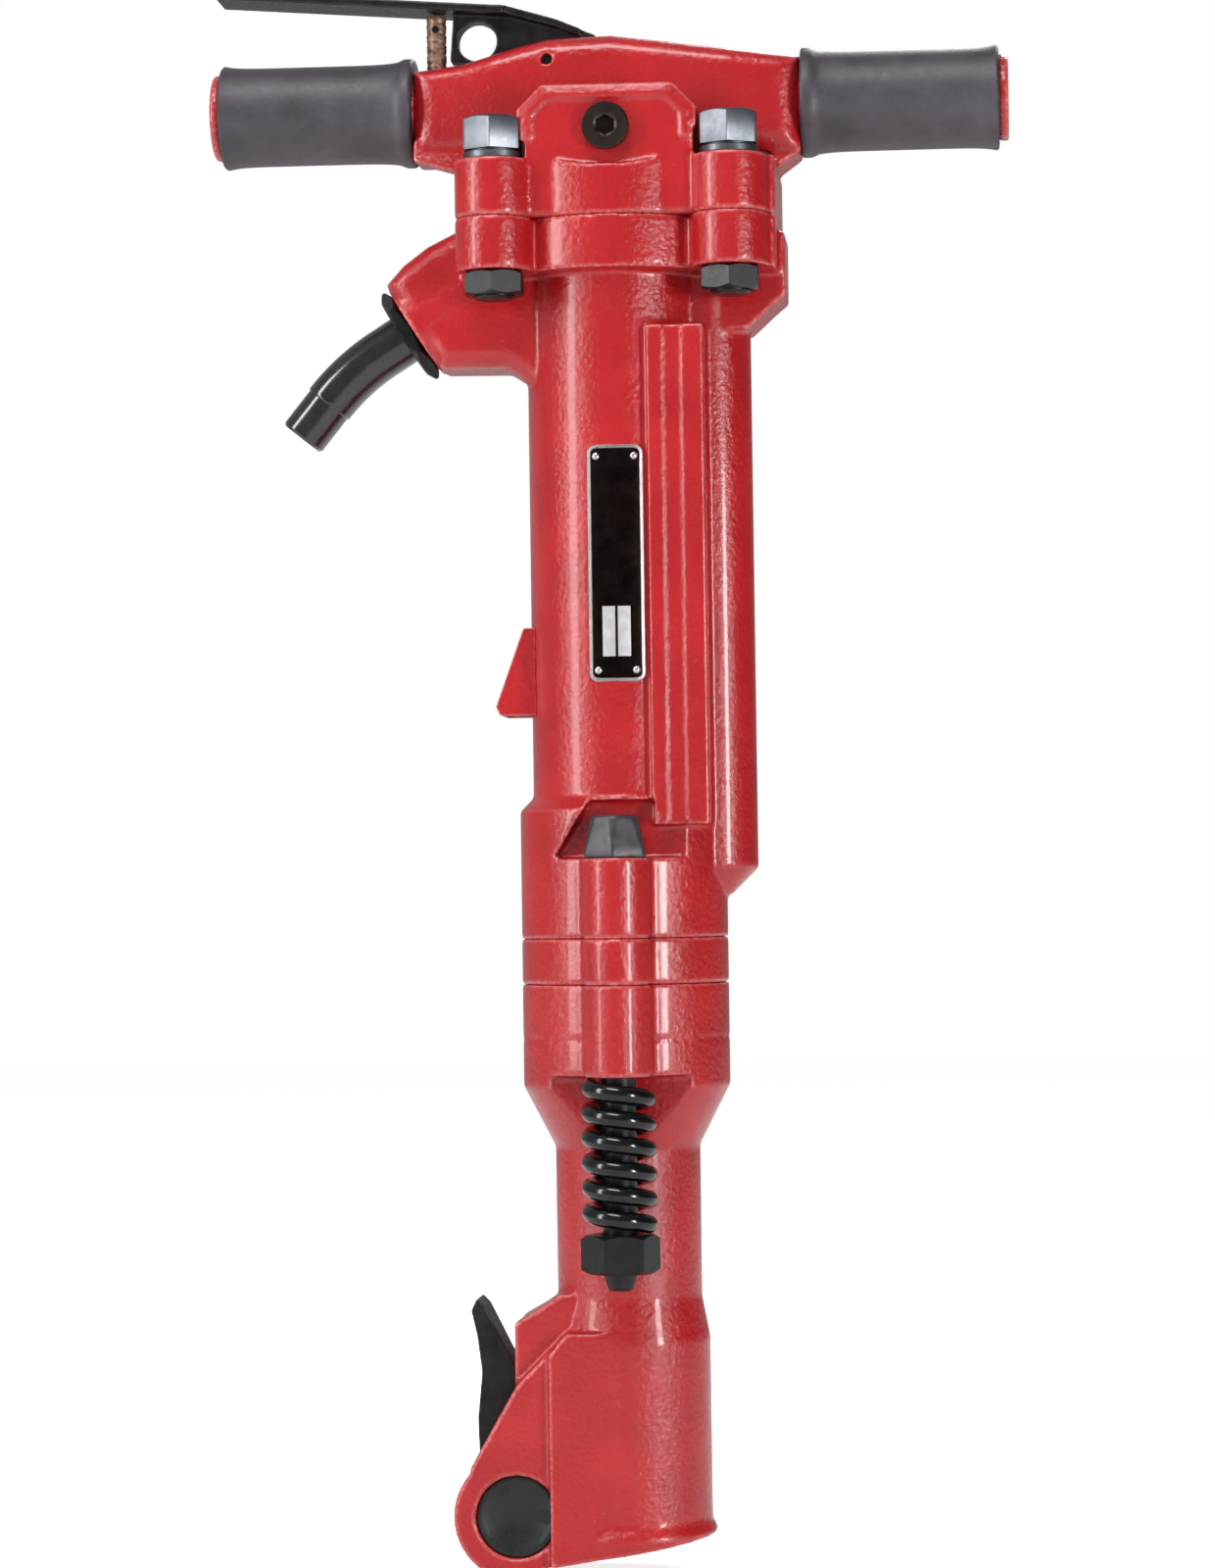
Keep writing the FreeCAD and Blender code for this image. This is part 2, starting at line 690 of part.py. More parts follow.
def make_fronthead():
    """The front head casting: skirt, taper, neck, nose, cheeks and rod lugs."""
    shell = turned(
        "HeadShell",
        ("0", "0"), ("nose_radius", "0"), ("lip_radius", "rim_high + lip_rise"),
        ("nose_radius", "rim_high + lip_blend"), ("nose_radius", "nose_height"),
        ("neck_radius", "neck_base"), ("neck_radius", "taper_base"),
        ("head_radius", "head_base"), ("head_radius", "fronthead_length"), ("0", "fronthead_length"),
    )
    sides = (("-head_radius * 2", "-window_back"), ("window_back", "head_radius * 2"))
    window = [block(f"Window{i}", "-window_half_width", "window_half_width", a, b, "neck_base",
                    "shelf_height") for i, (a, b) in enumerate(sides)]
    lugs = []
    for name, sign in (("Front", "-"), ("Rear", "")):
        lugs.append(rod("HeadLug" + name, "lug_radius", "lug_height", "0", sign + "rod_offset",
                        "shelf_height"))
        y0, y1 = ("-rod_offset", "0") if sign else ("0", "rod_offset")
        lugs.append(block("HeadWeb" + name, "-lug_radius", "lug_radius", y0, y1, "shelf_height",
                          "fronthead_length"))
    cheeks = slab(
        "Cheeks", "cheek_half_width * 2",
        ("0", "0"), ("-retainer_x", "retainer_height - boss_radius"), ("-retainer_x", "retainer_height"),
        ("-retainer_x - boss_lean", "retainer_height + boss_shoulder"),
        ("-box_left + cheek_step", "box_top - box_depth + overrun"),
        ("-cheek_back", "box_top - cheek_drop"), ("0", "box_top - cheek_drop"),
    )
    flat = slab(
        "NoseFlat", "nose_flat_half * 2",
        ("0", "0"), ("-nose_flat_left", "0"), ("-nose_flat_left", "nose_flat_corner"),
        ("-cheek_back", "box_top - cheek_drop"), ("0", "box_top - cheek_drop"),
    )
    boss = rod("CheekBoss", "boss_radius", "cheek_half_width * 2", "-retainer_x", "-cheek_half_width",
               "retainer_height", "y")
    housing = slab(
        "LatchHousing", "box_half_width * 2",
        ("0", "box_top - box_depth"), ("-box_left", "box_top - box_depth"), ("-box_left", "box_top"),
        ("-box_left + box_slope", "box_top + box_crown"), ("-neck_radius + overrun", "neck_base + overrun"),
        ("0", "neck_base + overrun"),
    )
    bulk = joined("HeadBulk", less("HeadCore", shell, *window), cheeks, flat, boss, housing, *lugs)
    rim = slab(
        "RimCut", "lip_radius * 4",
        ("-retainer_x * 2", "-overrun * 9"), ("lip_radius * 2", "-overrun * 9"),
        ("lip_radius * 2", "rim_high + (rim_high - rim_low) / (lip_radius * 2) * lip_radius"),
        ("-lip_radius", "rim_low"), ("-lip_radius - lip_rise", "-overrun"), ("-retainer_x * 2", "-overrun"),
    )
    cuts = [
        rim,
        rod("HeadCavity", "collar_cavity_radius", "collar_cavity_depth + overrun", z="-overrun"),
        rod("HeadBore", "chuck_radius + fit_gap", "fronthead_length", z="collar_cavity_depth - overrun"),
        rod("HeadSeat", "spigot_radius + fit_gap", "fronthead_length - chuck_seat_height + overrun",
            z="chuck_seat_height - seat_gap"),
        rod("LatchSlot", "latch_slot_radius", "latch_half_width * 2 + moving_gap * 2", "-retainer_x",
            "-latch_half_width - moving_gap", "retainer_height", "y"),
        block("BladeSlot", "-retainer_x - boss_radius * 2", "-box_left + blade_slot_depth",
              "-latch_half_width - moving_gap", "latch_half_width + moving_gap", "retainer_height",
              "neck_base + overrun * 3"),
        block("SlotMouth", "-retainer_x - boss_radius * 2", "-collar_cavity_radius + overrun",
              "-latch_half_width - moving_gap", "latch_half_width + moving_gap", "-overrun",
              "retainer_height"),
        rod("PinHole", "retainer_pin_radius + fit_gap", "cheek_half_width * 2 + overrun * 2", "-retainer_x",
            "-cheek_half_width - overrun", "retainer_height", "y"),
        half_disc("PlugHoleFront", "plug_radius + seat_gap", "plug_thickness + plug_recess + overrun",
                  "-cheek_half_width - overrun", "0"),
        half_disc("PlugHoleRear", "plug_radius + seat_gap", "plug_thickness + plug_recess + overrun",
                  "cheek_half_width - plug_thickness - plug_recess", "0"),
        rod("PlungerHole", "plunger_radius + fit_gap",
            "plunger_length + retainer_spring_length + moving_gap + seat_gap * 2",
            "-retainer_x + plunger_offset", "0", "retainer_height + latch_hub_radius"),
    ]
    cuts += two_rods("HeadRodHole", lambda n, y: rod(
        n, "rod_hole_radius", "lug_height + overrun * 2", "0", y, "shelf_height - overrun"))
    groove = less("HeadGroove", rod("GrooveOut", "head_radius * 2", "groove_width",
                                    z="fronthead_length - groove_height"),
                  rod("GrooveIn", "head_radius - groove_depth", "groove_width",
                      z="fronthead_length - groove_height"))
    cuts.append(less("HeadGrooveBare", groove,
                     block("GrooveKeepFront", "-lug_radius", "lug_radius", "-rod_offset * 2", "-window_back",
                           "shelf_height", "fronthead_length"),
                     block("GrooveKeepRear", "-lug_radius", "lug_radius", "window_back", "rod_offset * 2",
                           "shelf_height", "fronthead_length")))
    piece("fronthead", less("Fronthead", bulk, *cuts))


def make_chuck():
    """The hexagon socket liner pressed into the front head."""
    liner = turned(
        "ChuckBlank",
        ("0", "collar_cavity_depth"), ("chuck_radius", "collar_cavity_depth"),
        ("chuck_radius", "chuck_seat_height"), ("chuck_flange_radius", "chuck_seat_height"),
        ("chuck_flange_radius", "chuck_top"), ("0", "chuck_top"),
    )
    socket = hexagon("Socket", "socket_across", "socket_height - collar_cavity_depth + overrun",
                     z="collar_cavity_depth - overrun", turn=30)
    mouth = cone("SocketMouth", "chuck_radius - overrun / 2", "socket_across / 2 - mouth_inset",
                 "overrun + mouth_inset",
                 z="collar_cavity_depth - seat_gap / 10")
    seat = rod("AnvilSeat", "anvil_shank_radius + fit_gap", "chuck_top - socket_height + overrun",
               z="socket_height - seat_gap")
    piece("chuck_bushing", less("ChuckBushing", liner, socket, mouth, seat))


def make_anvil():
    """The anvil, from its tip at the tool to its head at the piston, and its housing ring."""
    piece("anvil", turned(
        "Anvil",
        ("0", "anvil_tip_height"), ("anvil_tip_radius - anvil_edge", "anvil_tip_height"),
        ("anvil_tip_radius", "anvil_tip_height + anvil_edge"),
        ("anvil_tip_radius", "anvil_tip_height + anvil_tip_length"),
        ("anvil_shank_radius", "anvil_tip_height + anvil_tip_length + anvil_edge"),
        ("anvil_shank_radius", "anvil_body_base"), ("anvil_radius", "anvil_body_base"),
        ("anvil_radius", "anvil_shoulder - anvil_edge"), ("anvil_radius - anvil_edge", "anvil_shoulder"),
        ("anvil_neck_radius", "anvil_shoulder"), ("anvil_neck_radius", "anvil_top - anvil_edge"),
        ("anvil_neck_radius - anvil_edge", "anvil_top"), ("0", "anvil_top"),
    ))
    ring = turned(
        "SpacerRing",
        ("anvil_radius + fit_gap", "spacer_base - lower_spigot"),
        ("spigot_radius", "spacer_base - lower_spigot"),
        ("spigot_radius", "spacer_base"), ("head_radius", "spacer_base"), ("head_radius", "cylinder_base"),
        ("spigot_radius", "cylinder_base"), ("spigot_radius", "cylinder_base + upper_spigot"),
        ("anvil_neck_radius + fit_gap", "cylinder_base + upper_spigot"),
        ("anvil_neck_radius + fit_gap", "anvil_stop"),
        ("anvil_radius + fit_gap", "anvil_stop"),
    )
    lugs = []
    for name, sign in (("Front", "-"), ("Rear", "")):
        lugs.append(rod("RingLug" + name, "lug_radius", "spacer_thickness", "0", sign + "rod_offset",
                        "spacer_base"))
        y0, y1 = ("-rod_offset", "-web_root") if sign else ("web_root", "rod_offset")
        lugs.append(block("RingWeb" + name, "-lug_radius", "lug_radius", y0, y1, "spacer_base",
                          "cylinder_base"))
    holes = two_rods("RingRodHole", lambda n, y: rod(
        n, "rod_hole_radius", "spacer_thickness + overrun * 2", "0", y, "spacer_base - overrun"))
    piece("anvil_housing", less("AnvilHousing", joined("RingBulk", ring, *lugs), *holes))


def flange_block(name, base, height):
    """The bolted flange: a round core with four rounded corners."""
    core = rod(name + "Core", "flange_core_radius", height, z=base)
    side = block(name + "Side", "-bolt_half_x - corner_radius + flange_side_inset", "flange_right",
                 "-bolt_half_y", "bolt_half_y", base, f"{base} + {height}")
    corners = four_corners(name + "Corner", lambda n, x, y: rod(n, "corner_radius", height, x, y, base))
    return joined(name, core, side, *corners)


def inlet_turn(item, x="0", z="0"):
    """Turn an item so that its own +Z points out of the air inlet."""
    item.Placement = FreeCAD.Placement(V(), FreeCAD.Rotation(V(0, -1, 0), 0))
    item.setExpression("Placement.Rotation.Angle", named("90 + inlet_drop_angle"))
    place(item, f"-inlet_face_x + ({x})", "0", f"inlet_height + ({z})")
    return item


def make_cylinder():
    """The cylinder casting with its flange, duct, rib, inlet boss, collar and rod lugs."""
    flange = flange_block("CylinderFlange", "flange_base", "flange_thickness")
    barrel = rod("Barrel", "barrel_radius", "cylinder_length", z="cylinder_base")
    collar = turned(
        "Collar",
        ("0", "cylinder_base"), ("head_radius", "cylinder_base"),
        ("head_radius", "cylinder_base + collar_height - head_radius + barrel_radius"),
        ("barrel_radius", "cylinder_base + collar_height"), ("0", "cylinder_base + collar_height"),
    )
    duct = rod("Duct", "duct_radius", "cylinder_length - duct_bottom", "duct_offset", "0",
               "cylinder_base + duct_bottom")
    foot = cone("DuctFoot", "duct_foot_radius", "duct_radius", "duct_foot_height", "duct_offset", "0",
                "cylinder_base + duct_bottom - duct_foot_height")
    web = block("DuctWeb", "0", "duct_offset", "-duct_radius", "duct_radius", "cylinder_base + duct_bottom",
                "flange_base + overrun")
    head = slab(
        "DuctHead", "(duct_radius - duct_head_inset) * 2",
        ("duct_offset / 2", "flange_base - duct_head_drop - duct_head_taper"),
        ("duct_offset + duct_radius - fit_gap", "flange_base - duct_head_drop - duct_head_taper"),
        ("duct_head_bend", "flange_base - duct_head_drop - duct_head_slope"),
        ("duct_head_reach", "flange_base - duct_head_drop"),
        ("duct_head_reach", "flange_base - duct_head_drop + duct_head_height"),
        ("duct_offset / 2", "flange_base - duct_head_drop + duct_head_height"),
    )
    rib = block("Rib", "rib_left", "rib_right", "-rib_front", "0", "cylinder_base + rib_bottom",
                "cylinder_top - rib_top_drop")
    lugs = []
    for name, sign in (("Front", "-"), ("Rear", "")):
        lugs.append(rod("CylLug" + name, "lug_radius", "ledge_height", "0", sign + "rod_offset",
                        "cylinder_base"))
        y0, y1 = ("-rod_offset", "-web_root") if sign else ("web_root", "rod_offset")
        lugs.append(block("CylWeb" + name, "-lug_radius", "lug_radius", y0, y1, "cylinder_base",
                          "ledge_top"))
    inlet = inlet_shift(inlet_turn(rod("InletBoss", "inlet_radius", "inlet_reach")), "inlet_reach")
    elbow_outline = slab(
        "Elbow", "elbow_half_width * 2",
        ("-barrel_radius / 2", "cylinder_top"), ("-elbow_top_x", "cylinder_top"),
        ("-elbow_crown_x", "cylinder_top - elbow_crown_drop"),
        ("-elbow_brow_x", "cylinder_top - elbow_brow_drop"),
        ("-inlet_face_x - (inlet_radius - elbow_setback) * sin(inlet_drop_angle * 1 deg)",
         "inlet_height + inlet_radius * cos(inlet_drop_angle * 1 deg)"),
        ("-inlet_face_x + (inlet_radius + elbow_setback) * sin(inlet_drop_angle * 1 deg)",
         "inlet_height - inlet_radius * cos(inlet_drop_angle * 1 deg) + elbow_setback / 2"),
        ("-elbow_throat_x", "inlet_height - elbow_floor"),
        ("-barrel_radius - elbow_setback", "inlet_height - elbow_floor - elbow_throat_drop"),
        ("-barrel_radius / 2", "inlet_height - elbow_floor - elbow_throat_height"),
    )
    elbow = softened("ElbowSoft", elbow_outline, "elbow_edge",
                     lambda e: abs(abs(e.CenterOfMass.y) - size("elbow_half_width")) < size("fit_gap"))
    inlet_boss = less("InletBossTrimmed", inlet,
                      block("InletTrim", "-inlet_face_x * 2", "0", "-barrel_radius", "barrel_radius",
                            "cylinder_top", "cylinder_top + inlet_reach"))
    bulk = joined("CylinderBulk", barrel, collar, flange, duct, foot, web, head, rib, elbow, inlet_boss,
                  *lugs)
    cuts = [
        rod("Bore", "bore_radius", "cylinder_length", z="cylinder_base"),
        rod("LowerCounterbore", "spigot_radius + fit_gap", "upper_spigot + seat_gap + overrun",
            z="cylinder_base - overrun"),
        rod("ChestBore", "chest_radius", "chest_depth + overrun", z="chest_base"),
        block("RibGroove", "rib_groove_left", "rib_groove_left + rib_groove_width", "-rib_front - overrun",
              "-rib_front + rib_groove_depth", "cylinder_base + rib_bottom - overrun",
              "cylinder_top - rib_top_drop + overrun"),
        rod("ExhaustPort", "exhaust_radius", "barrel_radius + overrun", "-barrel_radius - overrun", "0",
            "cylinder_base + exhaust_height", "x"),
        rod("InletPassage", "passage_radius", "flange_thickness + overrun * 9", "-passage_x", "0",
            "cylinder_top - flange_thickness - overrun * 3"),
        inlet_shift(inlet_turn(rod("InletBore", "inlet_bore_radius", "inlet_bore_depth + overrun")),
                    "inlet_bore_depth"),
        inlet_shift(inlet_turn(rod("InletThread", "swivel_thread_radius + seat_gap",
                                   "swivel_thread_length + nipple_collar_length + overrun")),
                    "swivel_thread_length + nipple_collar_length + seat_gap"),
        less("Pockets", slab(
            "PocketOutline", "rod_offset * 4",
            ("-pocket_left", "ledge_top"), ("rib_right", "ledge_top"),
            ("rib_right", "cylinder_base + rib_bottom"),
            ("rib_left + pocket_step", "cylinder_base + rib_bottom"),
            ("rib_left + pocket_step", "ledge_top + pocket_height"),
            ("-pocket_left + pocket_lean", "ledge_top + pocket_height"),
        ), block("PocketCore", "-rod_offset", "rod_offset", "-pocket_back", "pocket_back", "cylinder_base",
                 "cylinder_top")),
    ]
    cuts += two_rods("CylRodHole", lambda n, y: rod(
        n, "rod_hole_radius", "ledge_height + overrun * 2", "0", y, "cylinder_base - overrun"))
    cuts += four_corners("CylBoltHole", lambda n, x, y: rod(
        n, "bolt_hole_radius", "flange_thickness + overrun * 2", x, y, "flange_base - overrun"))
    cuts += four_corners("NutCup", lambda n, x, y: rod(
        n, "nut_cup_radius", "nut_height + washer_thickness * 3", x, y,
        "flange_base - nut_height - washer_thickness * 3"))
    piece("cylinder", less("Cylinder", bulk, *cuts))


def inlet_shift(item, depth):
    """Move an inlet item inwards along the inlet's own axis."""
    place(item, f"-inlet_face_x + ({depth}) * cos(inlet_drop_angle * 1 deg)", "0",
          f"inlet_height + ({depth}) * sin(inlet_drop_angle * 1 deg)")
    return item


def make_exhaust():
    """The hood over the exhaust port, open at its lower end."""
    outer = slab(
        "HoodOuter", "hood_half_width * 2",
        ("-barrel_radius + overrun * 2", "hood_base"),
        ("-barrel_radius - hood_reach + hood_lip", "hood_base"),
        ("-barrel_radius - hood_reach", "hood_base + hood_lip_height"),
        ("-barrel_radius - hood_crown", "cylinder_base + exhaust_height + hood_height / 2"),
        ("-barrel_radius + overrun * 2", "cylinder_base + exhaust_height + hood_height / 2"),
    )
    inner = slab(
        "HoodInner", "hood_half_width * 2 - hood_wall * 2",
        ("-barrel_radius + overrun * 3", "cylinder_base + exhaust_height - hood_slope_height"),
        ("-barrel_radius - hood_reach + hood_wall", "cylinder_base + exhaust_height - hood_slope_height"),
        ("-barrel_radius - hood_reach + hood_wall", "hood_base + hood_floor_rise"),
        ("-barrel_radius - hood_wall", "cylinder_base + exhaust_height + hood_height / 4"),
        ("-barrel_radius + overrun * 3", "cylinder_base + exhaust_height + hood_height / 4"),
    )
    barrel = rod("HoodSeat", "barrel_radius + seat_gap", "hood_height * 4",
                 z="cylinder_base + exhaust_height - hood_height * 2")
    piece("exhaust_hood", less("ExhaustHood", outer, inner, barrel))


def make_piston():
    """The hammer: a wide head above a narrow stem, with two oil grooves."""
    piece("piston", turned(
        "Piston",
        ("0", "piston_base"), ("piston_stem_radius - piston_edge", "piston_base"),
        ("piston_stem_radius", "piston_base + piston_edge"),
        ("piston_stem_radius", "piston_head_base - piston_edge"),
        ("piston_stem_radius + piston_edge", "piston_head_base"),
        ("bore_radius - fit_gap - piston_edge", "piston_head_base"),
        ("bore_radius - fit_gap", "piston_head_base + piston_edge"),
        ("bore_radius - fit_gap", "piston_head_base + piston_head_length - piston_edge"),
        ("bore_radius - fit_gap - piston_edge", "piston_head_base + piston_head_length"),
        ("0", "piston_head_base + piston_head_length"),
    ))


def ring_of_ports(name, base, height, count=3):
    """Round ports on a circle."""
    port = rod(name + "Port", "port_radius", height, "port_circle", "0", base)
    copies = [port]
    for i in range(1, count):
        item = rod(f"{name}Port{i}", "port_radius", height)
        turn = f"{i * 360 / count} deg"
        place(item, f"port_circle * cos({turn})", f"port_circle * sin({turn})", base)
        copies.append(item)
    return copies


def make_valve_gear():
    """The automatic valve at the top of the cylinder: seat, chest, distributor and cap."""
    seat = less("ValveSeatCut",
                rod("ValveSeatDisc", "chest_radius - fit_gap", "valve_seat_thickness", z="chest_base"),
                rod("ValveSeatHole", "distributor_stem_radius + port_radius",
                    "valve_seat_thickness + overrun * 2", z="chest_base - overrun"))
    seat_ports = ring_of_ports("Seat", "chest_base - overrun", "valve_seat_thickness + overrun * 2")
    dowel_x = "chest_radius - dowel_radius - seat_gap * 9"
    dowel_spot = (f"({dowel_x}) * cos(30 deg)", f"({dowel_x}) * sin(30 deg)", "chest_base + overrun")
    dowel_holes = [rod(f"DowelHole{i}", "dowel_radius + fit_gap", "dowel_length + seat_gap", *dowel_spot)
                   for i in range(3)]
    piece("valve_seat", less("ValveSeat", seat, dowel_holes[0], *seat_ports))
    chest = turned(
        "ChestBlank",
        ("chamber_radius", "valve_chest_base"), ("chest_radius - fit_gap", "valve_chest_base"),
        ("chest_radius - fit_gap", "valve_chest_base + chest_height"),
        ("distributor_stem_radius + moving_gap", "valve_chest_base + chest_height"),
        ("distributor_stem_radius + moving_gap", "valve_chest_base + chamber_depth"),
        ("chamber_radius", "valve_chest_base + chamber_depth"),
    )
    chest_ports = ring_of_ports("Chest", "valve_chest_base - overrun", "chest_height + overrun * 2")
    piece("valve_chest", less("ValveChest", chest, dowel_holes[1], *chest_ports))
    piece("distributor_valve", turned(
        "Distributor",
        ("0", "distributor_base"), ("distributor_radius", "distributor_base"),
        ("distributor_radius", "distributor_base + distributor_thickness"),
        ("distributor_stem_radius", "distributor_base + distributor_thickness"),
        ("distributor_stem_radius", "valve_chest_base + chest_height - distributor_travel - moving_gap"),
        ("0", "valve_chest_base + chest_height - distributor_travel - moving_gap"),
    ))
    cap = rod("ValveCapDisc", "chest_radius - fit_gap", "cylinder_top - valve_cap_base - seat_gap",
              z="valve_cap_base")
    cap_ports = ring_of_ports("Cap", "valve_cap_base - overrun", "chest_depth + overrun")
    piece("valve_cap", less("ValveCap", cap, *cap_ports))
    piece("valve_dowel", rod("ValveDowel", "dowel_radius", "dowel_length", *dowel_spot))


def make_inlet():
    """The swivel: a nut screwed into the boss, a bent nipple that turns in it, a seal and a strainer."""
    nut = turned(
        "SwivelNut",
        ("nipple_radius + fit_gap", "-swivel_thread_length"),
        ("swivel_thread_radius", "-swivel_thread_length"),
        ("swivel_thread_radius", "seat_gap"), ("swivel_nut_radius", "seat_gap"),
        ("swivel_nut_radius", "swivel_nut_thickness - swivel_nut_edge"),
        ("swivel_nut_radius - swivel_nut_edge", "swivel_nut_thickness"),
        ("nipple_radius + fit_gap", "swivel_nut_thickness"),
        ("nipple_radius + fit_gap", "-swivel_thread_length / 2 + seal_length"),
        ("nipple_radius + seal_width", "-swivel_thread_length / 2 + seal_length"),
        ("nipple_radius + seal_width", "-swivel_thread_length / 2"),
        ("nipple_radius + fit_gap", "-swivel_thread_length / 2"),
    )
    piece("inlet_swivel_nut", inlet_turn(nut))
    seal = turned(
        "SwivelSeal",
        ("nipple_radius + fit_gap * 2", "-swivel_thread_length / 2 + seat_gap"),
        ("nipple_radius + seal_width - seat_gap", "-swivel_thread_length / 2 + seat_gap"),
        ("nipple_radius + seal_width - seat_gap", "-swivel_thread_length / 2 + seal_length - seat_gap"),
        ("nipple_radius + fit_gap * 2", "-swivel_thread_length / 2 + seal_length - seat_gap"),
    )
    piece("swivel_seal", inlet_turn(seal))
    collar = turned(
        "NippleCollar",
        ("0", "-swivel_thread_length - nipple_collar_length"),
        ("nipple_collar_radius", "-swivel_thread_length - nipple_collar_length"),
        ("nipple_collar_radius", "-swivel_thread_length - moving_gap"),
        ("nipple_radius", "-swivel_thread_length - moving_gap"), ("nipple_radius", "nipple_straight"),
        ("0", "nipple_straight"),
    )
    bend = doc.addObject("Part::Torus", "NippleBend")
    bend_bore = doc.addObject("Part::Torus", "NippleBendBore")
    for item, radius in ((bend, "nipple_radius"), (bend_bore, "nipple_bore_radius")):
        item.Placement = FreeCAD.Placement(V(), FreeCAD.Rotation(V(1, 0, 0), 90))
        bind(item, Radius1="nipple_bend_radius", Radius2=radius, Angle3="nipple_bend_angle")
        place(item, "-nipple_bend_radius", "0", "nipple_straight")
    tail = []
    for name, radius, length in (("NippleTail", "nipple_end_radius", "nipple_end_length"),
                                 ("NippleTailBore", "nipple_bore_radius", "nipple_end_length + overrun")):
        item = rod(name, radius, length)
        item.Placement = FreeCAD.Placement(V(), FreeCAD.Rotation(V(0, -1, 0), 0))
        item.setExpression("Placement.Rotation.Angle", named("nipple_bend_angle"))
        place(item, "-nipple_bend_radius + nipple_bend_radius * cos(nipple_bend_angle * 1 deg)", "0",
              "nipple_straight + nipple_bend_radius * sin(nipple_bend_angle * 1 deg)")
        tail.append(item)
    bore = rod("NippleBore", "nipple_bore_radius",
               "swivel_thread_length + nipple_collar_length + nipple_straight + overrun",
               z="-swivel_thread_length - nipple_collar_length - overrun")
    nipple = less("Nipple", joined("NippleOuter", collar, bend, tail[0]), bore, bend_bore, tail[1])
    piece("swivel_nipple", inlet_turn(nipple))
    strainer = turned(
        "Strainer",
        ("inlet_bore_radius - seat_gap - strainer_wall",
         "-swivel_thread_length - nipple_collar_length - moving_gap"),
        ("inlet_bore_radius - seat_gap", "-swivel_thread_length - nipple_collar_length - moving_gap"),
        ("strainer_tip_radius", "-swivel_thread_length - nipple_collar_length - strainer_length"),
        ("0", "-swivel_thread_length - nipple_collar_length - strainer_length"),
        ("0", "-swivel_thread_length - nipple_collar_length - strainer_length + strainer_wall"),
        ("strainer_tip_radius - strainer_wall",
         "-swivel_thread_length - nipple_collar_length - strainer_length + strainer_wall"),
    )
    piece("inlet_strainer", inlet_turn(strainer))


def make_fasteners():
    """Flange bolts with heads, lock washers and nuts, and the two side rods."""
    bolts = four_corners("FlangeBolt", lambda n, x, y: joined(
        n, rod(n + "Shank", "bolt_radius",
               "bolt_length + washer_thickness + nut_height + overrun * 3", x, y,
               "flange_base - nut_height - overrun"),
        shared(n + "Top",
               hexagon(n + "Head", "bolt_across", "bolt_head_height", x, y, "bolt_head_base", turn=30),
               cone(n + "Dome", "bolt_across / 2 / cos(30 deg) + bolt_dome_low",
                    "bolt_across / 2 * bolt_dome_share", "bolt_head_height", x, y, "bolt_head_base"))))
    piece("flange_bolts", group("FlangeBolts", bolts))
    washers = four_corners("FlangeWasher", lambda n, x, y: less(
        n, rod(n + "Disc", "washer_radius", "washer_thickness", x, y, "backhead_seat + seat_gap"),
        rod(n + "Hole", "bolt_radius + seat_gap", "washer_thickness + overrun * 2", x, y,
            "backhead_seat - overrun")))
    piece("flange_washers", group("FlangeWashers", washers))
    nuts = four_corners("FlangeNut", lambda n, x, y: less(
        n, hexagon(n + "Hexagon", "bolt_across", "nut_height", x, y, "flange_base - nut_height - seat_gap",
                   turn=30),
        rod(n + "Thread", "bolt_radius + fit_gap", "nut_height + overrun * 2", x, y,
            "flange_base - nut_height - overrun")))
    piece("flange_nuts", group("FlangeNuts", nuts))
    rods = two_rods("SideRod", lambda n, y: joined(
        n, cone(n + "Tip", "rod_tip_radius", "rod_radius", "rod_end", "0", y, "rod_bottom"),
        rod(n + "Shank", "rod_radius", "ledge_top - nut_base + overrun", "0", y, "nut_base"),
        shared(n + "Top", hexagon(n + "Head", "rod_head_across", "rod_head_height", "0", y,
                                  "ledge_top + seat_gap", turn=30),
               cone(n + "Dome", "rod_head_across / 2 / cos(30 deg) + rod_dome_low",
                    "rod_head_across / 2 * rod_dome_share", "rod_head_height", "0", y,
                    "ledge_top + seat_gap"))))
    piece("side_rods", group("SideRods", rods))
    nuts = two_rods("SideNut", lambda n, y: less(
        n, hexagon(n + "Hexagon", "rod_nut_across", "rod_nut_height - seat_gap", "0", y, "nut_base",
                   turn=size("rod_nut_turn")),
        rod(n + "Thread", "rod_radius + fit_gap", "rod_nut_height + overrun * 2", "0", y,
            "nut_base - overrun")))
    piece("side_rod_nuts", group("SideRodNuts", nuts))
    plain("side_rod_springs", [
        coil(0, side * size("rod_offset"), size("nut_top") + size("seat_gap"),
             size("spring_length") - 2 * size("seat_gap"), size("spring_mean_radius"), size("spring_wire"),
             size("spring_length") / size("spring_pitch")) for side in (-1, 1)])


